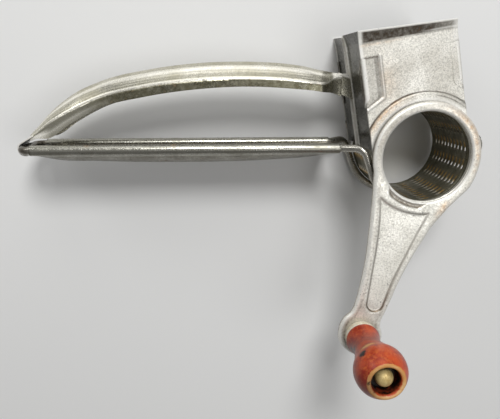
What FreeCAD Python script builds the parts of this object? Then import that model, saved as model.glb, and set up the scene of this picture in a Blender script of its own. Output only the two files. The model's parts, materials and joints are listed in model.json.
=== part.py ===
"""Hand-held rotary shredder: a tin hopper on a bent wire frame, a perforated drum with a crank, and a
hinged handle that presses the food on to the drum.

The object lies on its back: +Z is the drum's axis towards the crank, +X runs from the handles' hinge to
the drum and +Y points to the mouth of the hopper. Every sub-part is drawn about the drum's axis, and its
Placement carries it to that axis. Hopper pieces and the presser are drawn upright and then turned by
hopper_tilt. All sizes are in millimetres.
"""

import FreeCAD, Part

import math
import os
import Sketcher

SIZES = {
    # where the drum's axis stands in the part's frame
    "axis_x": 72.98,
    "axis_y": 17.98,
    # hopper, drawn upright about the drum's axis
    "hopper_tilt": 10.5,
    "hopper_left": 21.9,
    "hopper_right": 19.1,
    "hopper_depth": 41.0,
    "crease_height": 50.0,
    "lip_rise": 4.9,
    "lip_rise_right": 3.3,
    "lip_flare": 1.6,
    "side_lip_flare": 2.2,
    "mouth_slant_angle": 0.85,
    "mouth_right": 18.2,
    "tin": 0.6,
    "horn_height": 4.2,
    "panel_foot": 6.5,
    "wall_bend_height": 13.5,
    "slot_width": 3.2,
    "slot_hem": 0.9,
    "arch_clear": 0.6,
    "rib_radius": 26.8,
    "rib_raise": 0.6,
    "left_lap_width": 6.6,
    "right_lap_width": 3.7,
    "lap_top": 44.0,
    "lap_length": 19.5,
    "lap_taper": 3.6,
    "lap_sheet": 0.4,
    "lap_wrap": 3.5,
    "slot_flare": 1.2,
    # wire frame
    "wire_diameter": 3.2,
    "wire_wall_gap": 0.2,
    "run_height": 2.6,
    "run_half_gap": 12.0,
    "run_rise": 0.6,
    "splay_start": 34.0,
    "splay_radius": 4.0,
    "turn_centre": 28.9,
    "turn_radius": 4.8,
    "cradle_gap": 0.3,
    "crossbar_x": 25.3,
    "crossbar_y": 1.5,
    "corner_radius": 3.4,
    "hinge_corner_radius": 4.2,
    "hinge_x": 170.0,
    # lower grip
    "grip_sheet": 0.55,
    "grip_fit": 0.05,
    "grip_start": 165.6,
    "grip_end": 34.6,
    "belly_depth": 4.8,
    # upper handle
    "handle_sheet": 0.6,
    "handle_width": 16.0,
    "handle_crown": 38.6,
    "handle_arch": 6.6,
    "handle_flange": 3.5,
    "hinge_fit": 0.6,
    "tongue_width": 13.0,
    "sleeve_angle": 330.0,
    "blade_sheet": 1.6,
    "blade_top": 38.7,
    "blade_bottom": 27.0,
    "blade_reach": 9.5,
    "blade_heel": 11.0,
    "blade_nose": 29.0,
    # presser
    "press_gap": 0.7,
    "press_sheet": 0.6,
    "press_side_gap": 1.6,
    "press_angle_right": 43.0,
    "press_angle_left": 142.0,
    "press_turn_up": 7.0,
    "bracket_sheet": 0.8,
    "bracket_foot": 8.0,
    "bracket_height": 7.0,
    "bracket_half_length": 9.0,
    "bracket_taper": 1.5,
    "rivet_radius": 1.2,
    "rivet_head_radius": 2.1,
    "rivet_head_height": 0.9,
    "rivet_fit": 0.04,
    "blade_rivet_x": 5.0,
    "blade_rivet_y": 26.5,
    "foot_rivet_angle": 15.0,
    "flush_head": 0.3,
    # drum
    "drum_bore": 19.8,
    "drum_sheet": 0.5,
    "bead_raise": 0.6,
    "bead_width": 2.4,
    "drum_end_gap": 0.2,
    "slot_rows": 16,
    "slots_per_row": 10,
    "slot_pitch": 3.35,
    "row_offset": 0.42,
    "cut_width": 1.4,
    "cut_length": 4.2,
    # crank
    "plate": 0.8,
    "plate_rim": 2.0,
    "plate_recess": 0.55,
    "plate_lip_gap": 0.3,
    "ring_bore": 19.0,
    "ring_rim": 23.0,
    "groove_inner": 20.6,
    "groove_outer": 22.7,
    "groove_start": 224.0,
    "groove_end": 272.0,
    "collar_fit": 0.03,
    "collar_depth": 2.6,
    "eye_x": -24.4,
    "eye_y": -80.4,
    "eye_radius": 10.3,
    # knob
    "washer_radius": 7.05,
    "washer_height": 3.2,
    "knob_gap": 0.2,
    "knob_length": 34.2,
    "knob_base_radius": 7.55,
    "knob_waist_radius": 6.4,
    "knob_bulb_radius": 10.7,
    "knob_rim_radius": 7.7,
    "recess_radius": 5.8,
    "recess_depth": 6.0,
    "pin_radius": 2.3,
    "pin_fit": 0.1,
    "pin_head_radius": 3.6,
    "pin_head_height": 5.0,
    "pin_tail_height": 0.9,
    "pin_washer_radius": 4.6,
    "pin_washer_height": 0.6,
}

doc = FreeCAD.newDocument("rotary_shredder")
sheet = doc.addObject("Spreadsheet::Sheet", "Sizes")
for row, (name, value) in enumerate(SIZES.items(), start=1):
    sheet.set("A%d" % row, name)
    sheet.set("B%d" % row, str(value))
    sheet.setAlias("B%d" % row, name)
doc.recompute()


class Values:
    """The sheet's cells as plain attributes."""


s = Values()
for name in SIZES:
    setattr(s, name, float(sheet.get(name)))

V = FreeCAD.Vector
UP = V(0, 0, 1)
TILT = math.radians(s.hopper_tilt)

# heights above the plane that the object lies on
BACK_FACE = s.lip_flare
FRONT_FACE = BACK_FACE + s.hopper_depth
MID = BACK_FACE + s.hopper_depth / 2
RIM_BACK = FRONT_FACE + s.lip_flare + s.plate_lip_gap
PLATE_FRONT = RIM_BACK + s.plate_rim
PLATE_BACK = PLATE_FRONT - s.plate

# radii about the drum's axis
WIRE = s.wire_diameter / 2
DRUM_OUTER = s.drum_bore + s.drum_sheet
BEAD_OUTER = DRUM_OUTER + s.bead_raise
CRADLE = BEAD_OUTER + s.cradle_gap + WIRE
ARCH = BEAD_OUTER + s.arch_clear
PRESS_INNER = BEAD_OUTER + s.press_gap
PRESS_OUTER = PRESS_INNER + s.press_sheet

# the wire's two planes inside the hopper's end walls
CRADLE_HALF = s.hopper_depth / 2 - s.tin - s.wire_wall_gap - WIRE

HOPPER = "hopper"
UPRIGHT = "upright"


def turned(x, y):
    """A point of the upright hopper drawing, in the frame of the handles."""
    return (
        x * math.cos(TILT) - y * math.sin(TILT),
        x * math.sin(TILT) + y * math.cos(TILT),
    )


def place(item, frame):
    """Carry a sub-part from the drum's axis to its place."""
    item.setExpression("Placement.Base.x", "Sizes.axis_x")
    item.setExpression("Placement.Base.y", "Sizes.axis_y")
    if frame == HOPPER:
        item.setExpression("Placement.Rotation.Angle", "Sizes.hopper_tilt")


def feature(label, shape, frame):
    """A sub-part whose shape is worked out here."""
    item = doc.addObject("Part::Feature", label)
    item.Label = label
    item.Shape = shape
    place(item, frame)
    return item


def new_body(label, frame):
    """A sub-part built from features."""
    body = doc.addObject("PartDesign::Body", label)
    body.Label = label
    place(body, frame)
    return body


def step(body, kind, name, at=("0", "0", "0"), **sizes):
    """Add one primitive feature, with its sizes and its place as expressions."""
    item = body.newObject("PartDesign::" + kind, name)
    for prop, text in sizes.items():
        item.setExpression(prop, text)
    for axis, text in zip("xyz", at):
        item.setExpression("Placement.Base." + axis, text)
    return item


def outline(body, name, points):
    """A closed sketch on the body's XY plane, each corner held by two expressions."""
    sketch = body.newObject("Sketcher::SketchObject", name)
    plane = [f for f in body.Origin.OriginFeatures if f.Role == "XY_Plane"][0]
    sketch.AttachmentSupport = [(plane, "")]
    sketch.MapMode = "FlatFace"
    values = [[float(body.evalExpression(text)) for text in corner] for corner in points]
    count = len(points)
    for i in range(count):
        first = V(values[i][0], values[i][1], 0)
        second = V(values[(i + 1) % count][0], values[(i + 1) % count][1], 0)
        sketch.addGeometry(Part.LineSegment(first, second), False)
    for i in range(count):
        sketch.addConstraint(Sketcher.Constraint("Coincident", i, 2, (i + 1) % count, 1))
    for i, corner in enumerate(points):
        for axis, kind in enumerate(("DistanceX", "DistanceY")):
            index = sketch.addConstraint(Sketcher.Constraint(kind, -1, 1, i, 1, values[i][axis]))
            sketch.setExpression("Constraints[%d]" % index, corner[axis])
    return sketch


def crease_at(x):
    """The height of the mouth's crease at x; the mouth slants down to the right."""
    return "(Sizes.crease_height - (%s + Sizes.hopper_left) * tan(Sizes.mouth_slant_angle * 1 deg))" % x


def lip_wedge(body, corner_x, width, z_low, z_high, x_low_top, x_high_top, z_low_top, z_high_top):
    """The flared lip above the crease: a slab from corner_x whose top edge is moved outwards."""
    lip = step(
        body, "AdditiveWedge", "Lip", at=(corner_x, crease_at(corner_x), "0"),
        Xmin="0", Xmax=width, Ymin="0", Ymax="Sizes.lip_rise",
        Zmin=z_low, Zmax=z_high, X2min=x_low_top, X2max=x_high_top, Z2min=z_low_top, Z2max=z_high_top,
    )
    lip.setExpression("Placement.Rotation.Angle", "-Sizes.mouth_slant_angle")
    return lip


EAR_X = "(Sizes.crossbar_x - Sizes.wire_diameter / 2 - Sizes.grip_fit - Sizes.tin)"
EAR_Y = "(Sizes.crossbar_y + Sizes.wire_diameter / 2 + Sizes.grip_fit + Sizes.tin)"
BEAD = "(Sizes.drum_bore + Sizes.drum_sheet + Sizes.bead_raise)"
RIGHT_CREASE = crease_at("Sizes.mouth_right")
BACK = "Sizes.lip_flare"
FRONT = "(Sizes.lip_flare + Sizes.hopper_depth)"
MIDDLE = "(Sizes.lip_flare + Sizes.hopper_depth / 2)"


def slant_lip(body):
    """Cut the lip's top edge down from its full height on the left to its lower height on the right."""
    left_top = "(Sizes.crease_height + Sizes.lip_rise)"
    right_top = "(" + RIGHT_CREASE + " + Sizes.lip_rise_right)"
    sketch = outline(body, "AboveLip", [
        ("-Sizes.hopper_left", left_top),
        ("Sizes.mouth_right", right_top),
        ("2 * Sizes.mouth_right", right_top),
        ("2 * Sizes.mouth_right", left_top + " + Sizes.lip_rise"),
        ("-Sizes.hopper_left", left_top + " + Sizes.lip_rise"),
    ])
    cut = body.newObject("PartDesign::Pocket", "LipSlant")
    cut.Profile = sketch
    cut.setExpression("Length", "4 * Sizes.hopper_depth")
    cut.Midplane = True


def end_wall(label, outward):
    """Front (outward 1) or back (outward -1) wall: sheet, raised arch rib, flared lip, opening for the drum."""
    body = new_body(label, HOPPER)
    face = FRONT if outward > 0 else BACK
    corners = [
        ("-Sizes.hopper_left", "Sizes.horn_height"),
        (EAR_X, EAR_Y),
        ("Sizes.hopper_right", "Sizes.wall_bend_height"),
        ("Sizes.mouth_right", RIGHT_CREASE),
        ("-Sizes.hopper_left", "Sizes.crease_height"),
    ]
    sketch = outline(body, "Sheet", corners)
    inner = face + " - Sizes.tin" if outward > 0 else face + " + Sizes.tin"
    sketch.setExpression("AttachmentOffset.Base.z", inner)
    pad = body.newObject("PartDesign::Pad", "Wall")
    pad.Profile = sketch
    pad.Reversed = outward < 0
    pad.setExpression("Length", "Sizes.tin + Sizes.rib_raise")
    doc.recompute()
    solid_volume = pad.Shape.Volume
    ring = body.newObject("Sketcher::SketchObject", "AroundRib")
    plane = [f for f in body.Origin.OriginFeatures if f.Role == "XY_Plane"][0]
    ring.AttachmentSupport = [(plane, "")]
    ring.MapMode = "FlatFace"
    ring.setExpression("AttachmentOffset.Base.z", face)
    ring.addGeometry(Part.Circle(V(0, 0, 0), UP, s.rib_radius), False)
    ring.addConstraint(Sketcher.Constraint("Coincident", 0, 3, -1, 1))
    ring.setExpression("Constraints[%d]" % ring.addConstraint(
        Sketcher.Constraint("Radius", 0, s.rib_radius)), "Sizes.rib_radius")
    ring.addGeometry(Part.Circle(V(0, 0, 0), UP, 2 * s.crease_height), False)
    ring.addConstraint(Sketcher.Constraint("Coincident", 1, 3, -1, 1))
    ring.setExpression("Constraints[%d]" % ring.addConstraint(
        Sketcher.Constraint("Radius", 1, 2 * s.crease_height)), "2 * Sizes.crease_height")
    trim = body.newObject("PartDesign::Pocket", "Rib")
    trim.Profile = ring
    trim.Reversed = outward > 0
    trim.setExpression("Length", "Sizes.rib_raise")
    doc.recompute()
    if trim.Shape.Volume > solid_volume - 1:
        raise RuntimeError("the rib's trim cut nothing on " + label)
    low = FRONT + " - Sizes.tin" if outward > 0 else BACK
    sign = "+" if outward > 0 else "-"
    lip_wedge(
        body, "-Sizes.hopper_left", "Sizes.hopper_left + Sizes.mouth_right", low, low + " + Sizes.tin",
        "0", "Sizes.hopper_left + Sizes.mouth_right",
        low + " %s Sizes.lip_flare" % sign, low + " + Sizes.tin %s Sizes.lip_flare" % sign,
    )
    slant_lip(body)
    step(body, "SubtractiveCylinder", "Arch", at=("0", "0", "0"), Radius=BEAD + " + Sizes.arch_clear",
         Height="2 * Sizes.hopper_depth")
    return body


def lap(body, name, outward, low_edge, top_edge, way, width):
    """A side wall's tab, folded round the corner and flat on an end wall; way is its side, "-" or "+"."""
    low_y = "Sizes.lap_top - Sizes.lap_length"
    out = " %s Sizes.lap_sheet" % way
    inner = " %s Sizes.%s" % ("+" if way == "-" else "-", width)
    tab = [
        (top_edge + out, "Sizes.lap_top"),
        (low_edge + out, low_y),
        (low_edge + inner, low_y + " + Sizes.lap_taper"),
        (top_edge + inner, "Sizes.lap_top"),
    ]
    fold = [
        (top_edge + out, "Sizes.lap_top"),
        (low_edge + out, low_y),
        (low_edge, low_y),
        (top_edge, "Sizes.lap_top"),
    ]
    face = FRONT if outward > 0 else BACK
    deep = face + (" - Sizes.lap_wrap" if outward > 0 else " + Sizes.lap_wrap")
    for suffix, corners, start, length in (
        ("Tab", tab, face, "Sizes.lap_sheet"),
        ("Fold", fold, deep, "Sizes.lap_wrap + Sizes.lap_sheet"),
    ):
        sketch = outline(body, name + suffix + "Outline", corners)
        sketch.setExpression("AttachmentOffset.Base.z", start)
        pad = body.newObject("PartDesign::Pad", name + suffix)
        pad.Profile = sketch
        pad.Reversed = outward < 0
        pad.setExpression("Length", length)


def left_panel(label, outward):
    """Half of the wall that faces the hinge, from an end wall to the slot for the presser's blade."""
    body = new_body(label, HOPPER)
    depth = "(Sizes.hopper_depth / 2 - Sizes.tin - Sizes.slot_width / 2)"
    low = MIDDLE + " + Sizes.slot_width / 2" if outward > 0 else BACK + " + Sizes.tin"
    high = low + " + " + depth
    step(body, "AdditiveBox", "Sheet", at=("-Sizes.hopper_left", "Sizes.panel_foot", low),
         Length="Sizes.tin", Width="Sizes.crease_height - Sizes.panel_foot", Height=depth)
    hem_z = low if outward > 0 else high + " - Sizes.tin"
    step(body, "AdditiveBox", "Hem", at=("-Sizes.hopper_left - Sizes.slot_hem", "Sizes.panel_foot", hem_z),
         Length="Sizes.slot_hem + Sizes.tin", Width="Sizes.crease_height - Sizes.panel_foot",
         Height="Sizes.tin")
    low_top = low + (" + Sizes.slot_flare" if outward > 0 else " - Sizes.lip_flare")
    high_top = high + (" + Sizes.lip_flare" if outward > 0 else " - Sizes.slot_flare")
    lip_wedge(
        body, "-Sizes.hopper_left", "Sizes.tin", low, high,
        "-Sizes.side_lip_flare", "-Sizes.side_lip_flare + Sizes.tin", low_top, high_top,
    )
    lap(body, "Lap", outward, "-Sizes.hopper_left", "-Sizes.hopper_left", "-", "left_lap_width")
    return body


def lean_at(height):
    """Where the leaning right wall's outer face stands at a height above its bend."""
    share = "((%s - Sizes.wall_bend_height) / (%s - Sizes.wall_bend_height))" % (height, RIGHT_CREASE)
    return "(Sizes.hopper_right - (Sizes.hopper_right - Sizes.mouth_right) * %s)" % share


def right_wall():
    """The wall behind the drum: flat above, slanted clear of the drum, rolled round the wire's crossbar."""
    body = new_body("hopper_right_wall", HOPPER)
    full = "(Sizes.hopper_depth - 2 * Sizes.tin)"
    low = BACK + " + Sizes.tin"
    sketch = outline(body, "Profile", [
        ("Sizes.mouth_right - Sizes.tin", crease_at("Sizes.mouth_right - Sizes.tin")),
        ("Sizes.hopper_right - Sizes.tin", "Sizes.wall_bend_height"),
        (EAR_X, EAR_Y),
        (EAR_X + " + Sizes.tin", EAR_Y),
        ("Sizes.hopper_right", "Sizes.wall_bend_height"),
        ("Sizes.mouth_right", RIGHT_CREASE),
    ])
    sketch.setExpression("AttachmentOffset.Base.z", low)
    pad = body.newObject("PartDesign::Pad", "Sheet")
    pad.Profile = sketch
    pad.setExpression("Length", full)
    straight = "(Sizes.hopper_depth - 2 * Sizes.tin - 2 * Sizes.wire_wall_gap - Sizes.wire_diameter"
    straight = straight + " - 2 * Sizes.corner_radius - 2 * Sizes.wire_wall_gap)"
    roll_low = MIDDLE + " - " + straight + " / 2"
    step(body, "AdditiveBox", "Skirt", at=(EAR_X, "Sizes.crossbar_y", roll_low),
         Length="Sizes.tin", Width=EAR_Y + " - Sizes.crossbar_y", Height=straight)
    step(body, "AdditiveCylinder", "Roll", at=("Sizes.crossbar_x", "Sizes.crossbar_y", roll_low),
         Radius="Sizes.wire_diameter / 2 + Sizes.grip_fit + Sizes.tin", Height=straight)
    step(body, "SubtractiveCylinder", "RollBore", at=("Sizes.crossbar_x", "Sizes.crossbar_y", "0"),
         Radius="Sizes.wire_diameter / 2 + Sizes.grip_fit", Height="2 * Sizes.hopper_depth")
    lip_wedge(
        body, "(Sizes.mouth_right - Sizes.tin)", "Sizes.tin", low, low + " + " + full,
        "0", "Sizes.tin", low + " - Sizes.lip_flare", low + " + " + full + " + Sizes.lip_flare",
    )
    slant_lip(body)
    low_edge = lean_at("(Sizes.lap_top - Sizes.lap_length)")
    top_edge = lean_at("Sizes.lap_top")
    lap(body, "FrontLap", 1, low_edge, top_edge, "+", "right_lap_width")
    lap(body, "BackLap", -1, low_edge, top_edge, "+", "right_lap_width")
    return body


def rod(points, radii, radius):
    """A round rod along a closed path of straight runs, with a tangent arc at each point."""
    count = len(points)
    arcs = []
    for i in range(count):
        before = (points[i - 1] - points[i]).normalize()
        after = (points[(i + 1) % count] - points[i]).normalize()
        half = before.getAngle(after) / 2
        reach = radii[i] / math.tan(half)
        centre = points[i] + (before + after).normalize() * (radii[i] / math.sin(half))
        start = points[i] + before * reach
        end = points[i] + after * reach
        arcs.append((start, end, centre, before, after, math.pi - 2 * half))
    pieces = []
    for i in range(count):
        start, end, centre, before, after, turn = arcs[i]
        disc = Part.Face(Part.Wire(Part.makeCircle(radius, start, before)))
        axis = after.cross(before).normalize()
        pieces.append(disc.revolve(centre, axis, math.degrees(turn)))
        run = arcs[(i + 1) % count][0] - end
        pieces.append(Part.makeCylinder(radius, run.Length, end, run))
    return pieces[0].multiFuse(pieces[1:]).removeSplitter()


def wire_frame():
    """One bent wire: the hinge bar, two runs under the grip, two cradles for the drum and a crossbar."""
    run_high = s.run_height + s.run_rise
    turn_x = -s.turn_centre
    turn_y = run_high - s.turn_radius
    apart = math.hypot(turn_x, turn_y)
    heading = math.atan2(-turn_y, -turn_x) - math.asin((CRADLE + s.turn_radius) / apart)
    touch = V(turn_x - s.turn_radius * math.sin(heading), turn_y + s.turn_radius * math.cos(heading), 0)
    bend_x = touch.x + (run_high - touch.y) * math.cos(heading) / math.sin(heading)
    bar_x, bar_y = turned(s.crossbar_x, s.crossbar_y)
    leave = math.atan2(bar_y, bar_x) - math.acos(CRADLE / math.hypot(bar_x, bar_y))
    # the cradle's two end tangents meet below the drum
    first = heading - math.pi / 2
    spread = (leave - first) / 2
    middle = (leave + first) / 2
    below = V(CRADLE / math.cos(spread) * math.cos(middle), CRADLE / math.cos(spread) * math.sin(middle), 0)
    near = [
        (V(-s.hinge_x, s.run_height, s.run_half_gap), s.hinge_corner_radius),
        (V(-s.splay_start, s.run_height, s.run_half_gap), s.splay_radius),
        (V(bend_x, run_high, CRADLE_HALF), s.turn_radius),
        (V(below.x, below.y, CRADLE_HALF), CRADLE),
        (V(bar_x, bar_y, CRADLE_HALF), s.corner_radius),
    ]
    far = [(V(p.x, p.y, -p.z), r) for p, r in reversed(near)]
    path = near + far
    points = [V(p.x, p.y, p.z + MID) for p, r in path]
    return feature("wire_frame", rod(points, [r for p, r in path], WIRE), UPRIGHT)


def crescent(x, half, edge_y, middle_y, thickness):
    """A thin arched strip's section across Z at x, edge_y at its sides and middle_y in the middle."""
    outer = Part.Arc(V(x, edge_y, MID + half), V(x, middle_y, MID), V(x, edge_y, MID - half))
    lifted = edge_y + thickness
    inner = Part.Arc(V(x, lifted, MID - half), V(x, middle_y + thickness, MID), V(x, lifted, MID + half))
    sides = [
        Part.LineSegment(V(x, edge_y, MID - half), V(x, lifted, MID - half)),
        Part.LineSegment(V(x, lifted, MID + half), V(x, edge_y, MID + half)),
    ]
    return Part.Wire([outer.toShape(), sides[0].toShape(), inner.toShape(), sides[1].toShape()])


def lower_grip():
    """Sheet rolled round both runs of the wire, with a belly that hangs between them."""
    length = s.grip_start - s.grip_end
    tube_inner = WIRE + s.grip_fit
    tube_outer = tube_inner + s.grip_sheet
    bottom = s.run_height - tube_outer
    stations = [(0.0, 0.12), (0.05, 0.55), (0.2, 0.82), (0.5, 1.0), (0.78, 0.84), (0.93, 0.5), (1.0, 0.12)]
    sections = [
        crescent(-s.grip_start + along * length, s.run_half_gap, bottom, bottom - share * s.belly_depth,
                 s.grip_sheet)
        for along, share in stations
    ]
    shape = Part.makeLoft(sections, True, False)
    for side in (-1, 1):
        base = V(-s.grip_start, s.run_height, MID + side * s.run_half_gap)
        shape = shape.fuse(Part.makeCylinder(tube_outer, length, base, V(1, 0, 0)))
    for side in (-1, 1):
        base = V(-s.grip_start, s.run_height, MID + side * s.run_half_gap)
        shape = shape.cut(Part.makeCylinder(tube_inner, length, base, V(1, 0, 0)))
    return feature("lower_grip", shape, UPRIGHT)


def channel_section(x, crown, rise, flange, width, t):
    """An upside-down channel's section at x: arched top, straight flanges, open below."""
    half = width / 2
    ridge = crown - rise
    bottom = ridge - flange
    inner_half = half - t
    points = [
        V(x, bottom, MID + half),
        V(x, ridge, MID + half),
        V(x, ridge, MID - half),
        V(x, bottom, MID - half),
        V(x, bottom, MID - inner_half),
        V(x, ridge - t / 2, MID - inner_half),
        V(x, ridge - t / 2, MID + inner_half),
        V(x, bottom, MID + inner_half),
    ]
    top = Part.Arc(points[1], V(x, crown, MID), points[2])
    under = Part.Arc(points[5], V(x, crown - t, MID), points[6])
    edges = [
        Part.LineSegment(points[0], points[1]).toShape(),
        top.toShape(),
        Part.LineSegment(points[2], points[3]).toShape(),
        Part.LineSegment(points[3], points[4]).toShape(),
        Part.LineSegment(points[4], points[5]).toShape(),
        under.toShape(),
        Part.LineSegment(points[6], points[7]).toShape(),
        Part.LineSegment(points[7], points[0]).toShape(),
    ]
    return Part.Wire(edges)


def sector(inner, outer, low, high, start, end):
    """Part of a tube about Z, between two angles in degrees."""
    face = Part.makePlane(outer - inner, high - low, V(inner, 0, low), V(0, -1, 0), V(1, 0, 0))
    face.rotate(V(0, 0, 0), UP, start)
    return face.revolve(V(0, 0, 0), UP, end - start)


def slab(edges, low, high):
    """A closed outline at height zero, made into a plate between two heights."""
    face = Part.Face(Part.Wire(Part.__sortEdges__(edges)))
    face.translate(V(0, 0, low))
    return face.extrude(V(0, 0, high - low))


def polyline(points):
    """Straight edges through a list of (x, y)."""
    corners = [V(x, y, 0) for x, y in points]
    return [Part.LineSegment(corners[i], corners[i + 1]).toShape() for i in range(len(corners) - 1)]


def smooth(points):
    """One smooth edge through a list of (x, y)."""
    curve = Part.BSplineCurve()
    curve.interpolate([V(x, y, 0) for x, y in points])
    return curve.toShape()


def blade():
    """The handle's end, pressed flat on edge, that runs through the slot to the presser."""
    half = s.blade_sheet / 2
    heel_y = math.sqrt(PRESS_OUTER ** 2 - s.blade_heel ** 2)
    toe_y = math.sqrt(PRESS_OUTER ** 2 - s.blade_reach ** 2)
    upright = [
        (s.blade_reach, toe_y),
        (s.blade_reach, s.blade_nose),
        (-s.hopper_left, s.blade_top),
    ]
    throat = (-(s.hopper_left + s.blade_heel) / 2, (s.blade_bottom + PRESS_OUTER) / 2)
    back = [(-s.hopper_left, s.blade_bottom), throat, (-s.blade_heel, heel_y)]
    outside = [
        (-s.hinge_x * 0.2206, s.handle_crown * 0.865),
        (-s.hinge_x * 0.2118, s.handle_crown * 0.687),
    ]
    points = [turned(x, y) for x, y in upright] + outside + [turned(x, y) for x, y in back]
    middle_angle = math.radians(90) + TILT
    seat = Part.Arc(
        V(points[-1][0], points[-1][1], 0),
        V(PRESS_OUTER * math.cos(middle_angle), PRESS_OUTER * math.sin(middle_angle), 0),
        V(points[0][0], points[0][1], 0),
    ).toShape()
    shape = slab(polyline(points) + [seat], MID - half, MID + half)
    for x in (-s.blade_rivet_x, s.blade_rivet_x):
        across, up = turned(x, s.blade_rivet_y)
        foot = V(across, up, MID - s.blade_sheet)
        hole = Part.makeCylinder(s.rivet_radius + s.rivet_fit, 2 * s.blade_sheet, foot)
        shape = shape.cut(hole)
    return shape


def upper_handle():
    """The long channel, its tongue rolled round the hinge bar and its end pressed into a blade."""
    # shares of the hinge's distance, the crown, the arch, the flange and the width
    shares = [
        (0.971, 0.295, 0.360, 0.640, 0.688),
        (0.935, 0.456, 0.606, 1.840, 0.844),
        (0.882, 0.640, 0.939, 1.600, 0.938),
        (0.806, 0.792, 0.955, 1.314, 1.000),
        (0.694, 0.907, 0.955, 1.257, 1.000),
        (0.559, 0.984, 1.000, 1.114, 1.000),
        (0.441, 1.000, 1.000, 1.000, 1.000),
        (0.324, 0.972, 0.970, 1.000, 1.000),
        (0.253, 0.922, 0.864, 0.943, 0.938),
        (0.221, 0.896, 0.682, 1.429, 0.562),
        (0.194, 0.878, 0.227, 2.343, 0.163),
    ]
    stations = [
        (-s.hinge_x * x, s.handle_crown * crown, s.handle_arch * rise, s.handle_flange * flange,
         s.handle_width * width)
        for x, crown, rise, flange, width in shares
    ]
    sections = [channel_section(*station, s.handle_sheet) for station in stations]
    shape = Part.makeLoft(sections, True, False)

    # the tongue leaves the sleeve as a tangent and meets the channel's ridge
    inner = WIRE + s.hinge_fit
    outer = inner + s.handle_sheet
    first = stations[0]
    end_x = first[0] + s.hinge_x
    end_y = first[1] - first[2] - s.run_height
    slope = math.atan2(end_y, end_x) - math.asin(outer / math.hypot(end_x, end_y))
    length = math.sqrt(end_x ** 2 + end_y ** 2 - outer ** 2) + 1.5
    low = MID - s.tongue_width / 2
    high = MID + s.tongue_width / 2
    start = math.degrees(slope) + 90
    sleeve = sector(inner, outer, low, high, start, s.sleeve_angle)
    strip = Part.makeBox(length, s.handle_sheet, high - low, V(0, inner, low))
    strip.rotate(V(0, 0, 0), UP, math.degrees(slope))
    tongue = sleeve.fuse(strip)
    tongue.translate(V(-s.hinge_x, s.run_height, 0))
    shape = shape.fuse([tongue, blade()]).removeSplitter()
    return feature("upper_handle", shape, UPRIGHT)


def pusher_plate():
    """The curved plate that follows the drum, with its two ends turned up."""
    half = s.hopper_depth / 2 - s.tin - s.press_side_gap
    low = MID - half
    high = MID + half
    shape = sector(PRESS_INNER, PRESS_OUTER, low, high, s.press_angle_right, s.press_angle_left)
    for angle, side in ((s.press_angle_right, 1), (s.press_angle_left, -1)):
        x = PRESS_OUTER * math.cos(math.radians(angle))
        y = PRESS_INNER * math.sin(math.radians(angle))
        left = min(x, x - side * s.press_sheet)
        shape = shape.fuse(Part.makeBox(s.press_sheet, s.press_turn_up, high - low, V(left, y, low)))
    for angle in foot_rivet_angles():
        shape = shape.cut(radial_rod(s.rivet_radius + s.rivet_fit, PRESS_INNER - 1, PRESS_OUTER + 1, angle))
    return feature("pusher_plate", shape.removeSplitter(), HOPPER)


def foot_rivet_angles():
    """Where the two foot rivets stand about the drum."""
    return (90 - s.foot_rivet_angle, 90 + s.foot_rivet_angle)


def radial_rod(radius, start, end, angle):
    """A rod pointing away from the drum's axis, over the middle of the bracket's foot."""
    way = V(math.cos(math.radians(angle)), math.sin(math.radians(angle)), 0)
    height = MID + s.blade_sheet / 2 + s.bracket_foot / 2 + s.bracket_sheet / 2
    return Part.makeCylinder(radius, end - start, way * start + V(0, 0, height), way)


def pusher_bracket():
    """The angle piece that carries the plate: a web beside the blade and a foot on the plate."""
    low = MID + s.blade_sheet / 2
    bend = PRESS_OUTER + s.bracket_sheet
    reach = s.bracket_half_length
    seat_y = math.sqrt(PRESS_OUTER ** 2 - reach ** 2)
    top = PRESS_OUTER + s.bracket_height
    seat = Part.Arc(V(reach, seat_y, 0), V(0, PRESS_OUTER, 0), V(-reach, seat_y, 0)).toShape()
    narrow = reach - s.bracket_taper
    sides = polyline([(-reach, seat_y), (-narrow, top), (narrow, top), (reach, seat_y)])
    shape = slab(sides + [seat], low, low + s.bracket_sheet)
    span = math.degrees(math.asin(reach / PRESS_OUTER))
    foot = sector(PRESS_OUTER, bend, low, low + s.bracket_foot, 90 - span, 90 + span)
    shape = shape.fuse(foot)
    for angle in foot_rivet_angles():
        shape = shape.cut(radial_rod(s.rivet_radius + s.rivet_fit, PRESS_INNER, bend + 1, angle))
    for x in (-s.blade_rivet_x, s.blade_rivet_x):
        hole = Part.makeCylinder(s.rivet_radius + s.rivet_fit, 4 * s.bracket_sheet,
                                 V(x, s.blade_rivet_y, low - s.bracket_sheet))
        shape = shape.cut(hole)
    return feature("pusher_bracket", shape.removeSplitter(), HOPPER)


def dome(radius, height):
    """A rivet's domed head standing on the plane z = 0."""
    ball = (radius ** 2 + height ** 2) / (2 * height)
    whole = Part.makeSphere(ball, V(0, 0, height - ball))
    return whole.common(Part.makeCylinder(radius + 1, height + 1))


def bracket_rivets():
    """Two rivets that hold the web to the blade, with a domed head on each side."""
    low = MID - s.blade_sheet / 2
    high = MID + s.blade_sheet / 2 + s.bracket_sheet
    rivets = []
    for x in (-s.blade_rivet_x, s.blade_rivet_x):
        shank = Part.makeCylinder(s.rivet_radius, high - low, V(x, s.blade_rivet_y, low))
        upper = dome(s.rivet_head_radius, s.rivet_head_height)
        upper.translate(V(x, s.blade_rivet_y, high))
        lower = dome(s.rivet_head_radius, s.rivet_head_height)
        lower.rotate(V(0, 0, 0), V(1, 0, 0), 180)
        lower.translate(V(x, s.blade_rivet_y, low))
        rivets.append(shank.fuse([upper, lower]).removeSplitter())
    return feature("bracket_rivets", Part.makeCompound(rivets), HOPPER)


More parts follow.
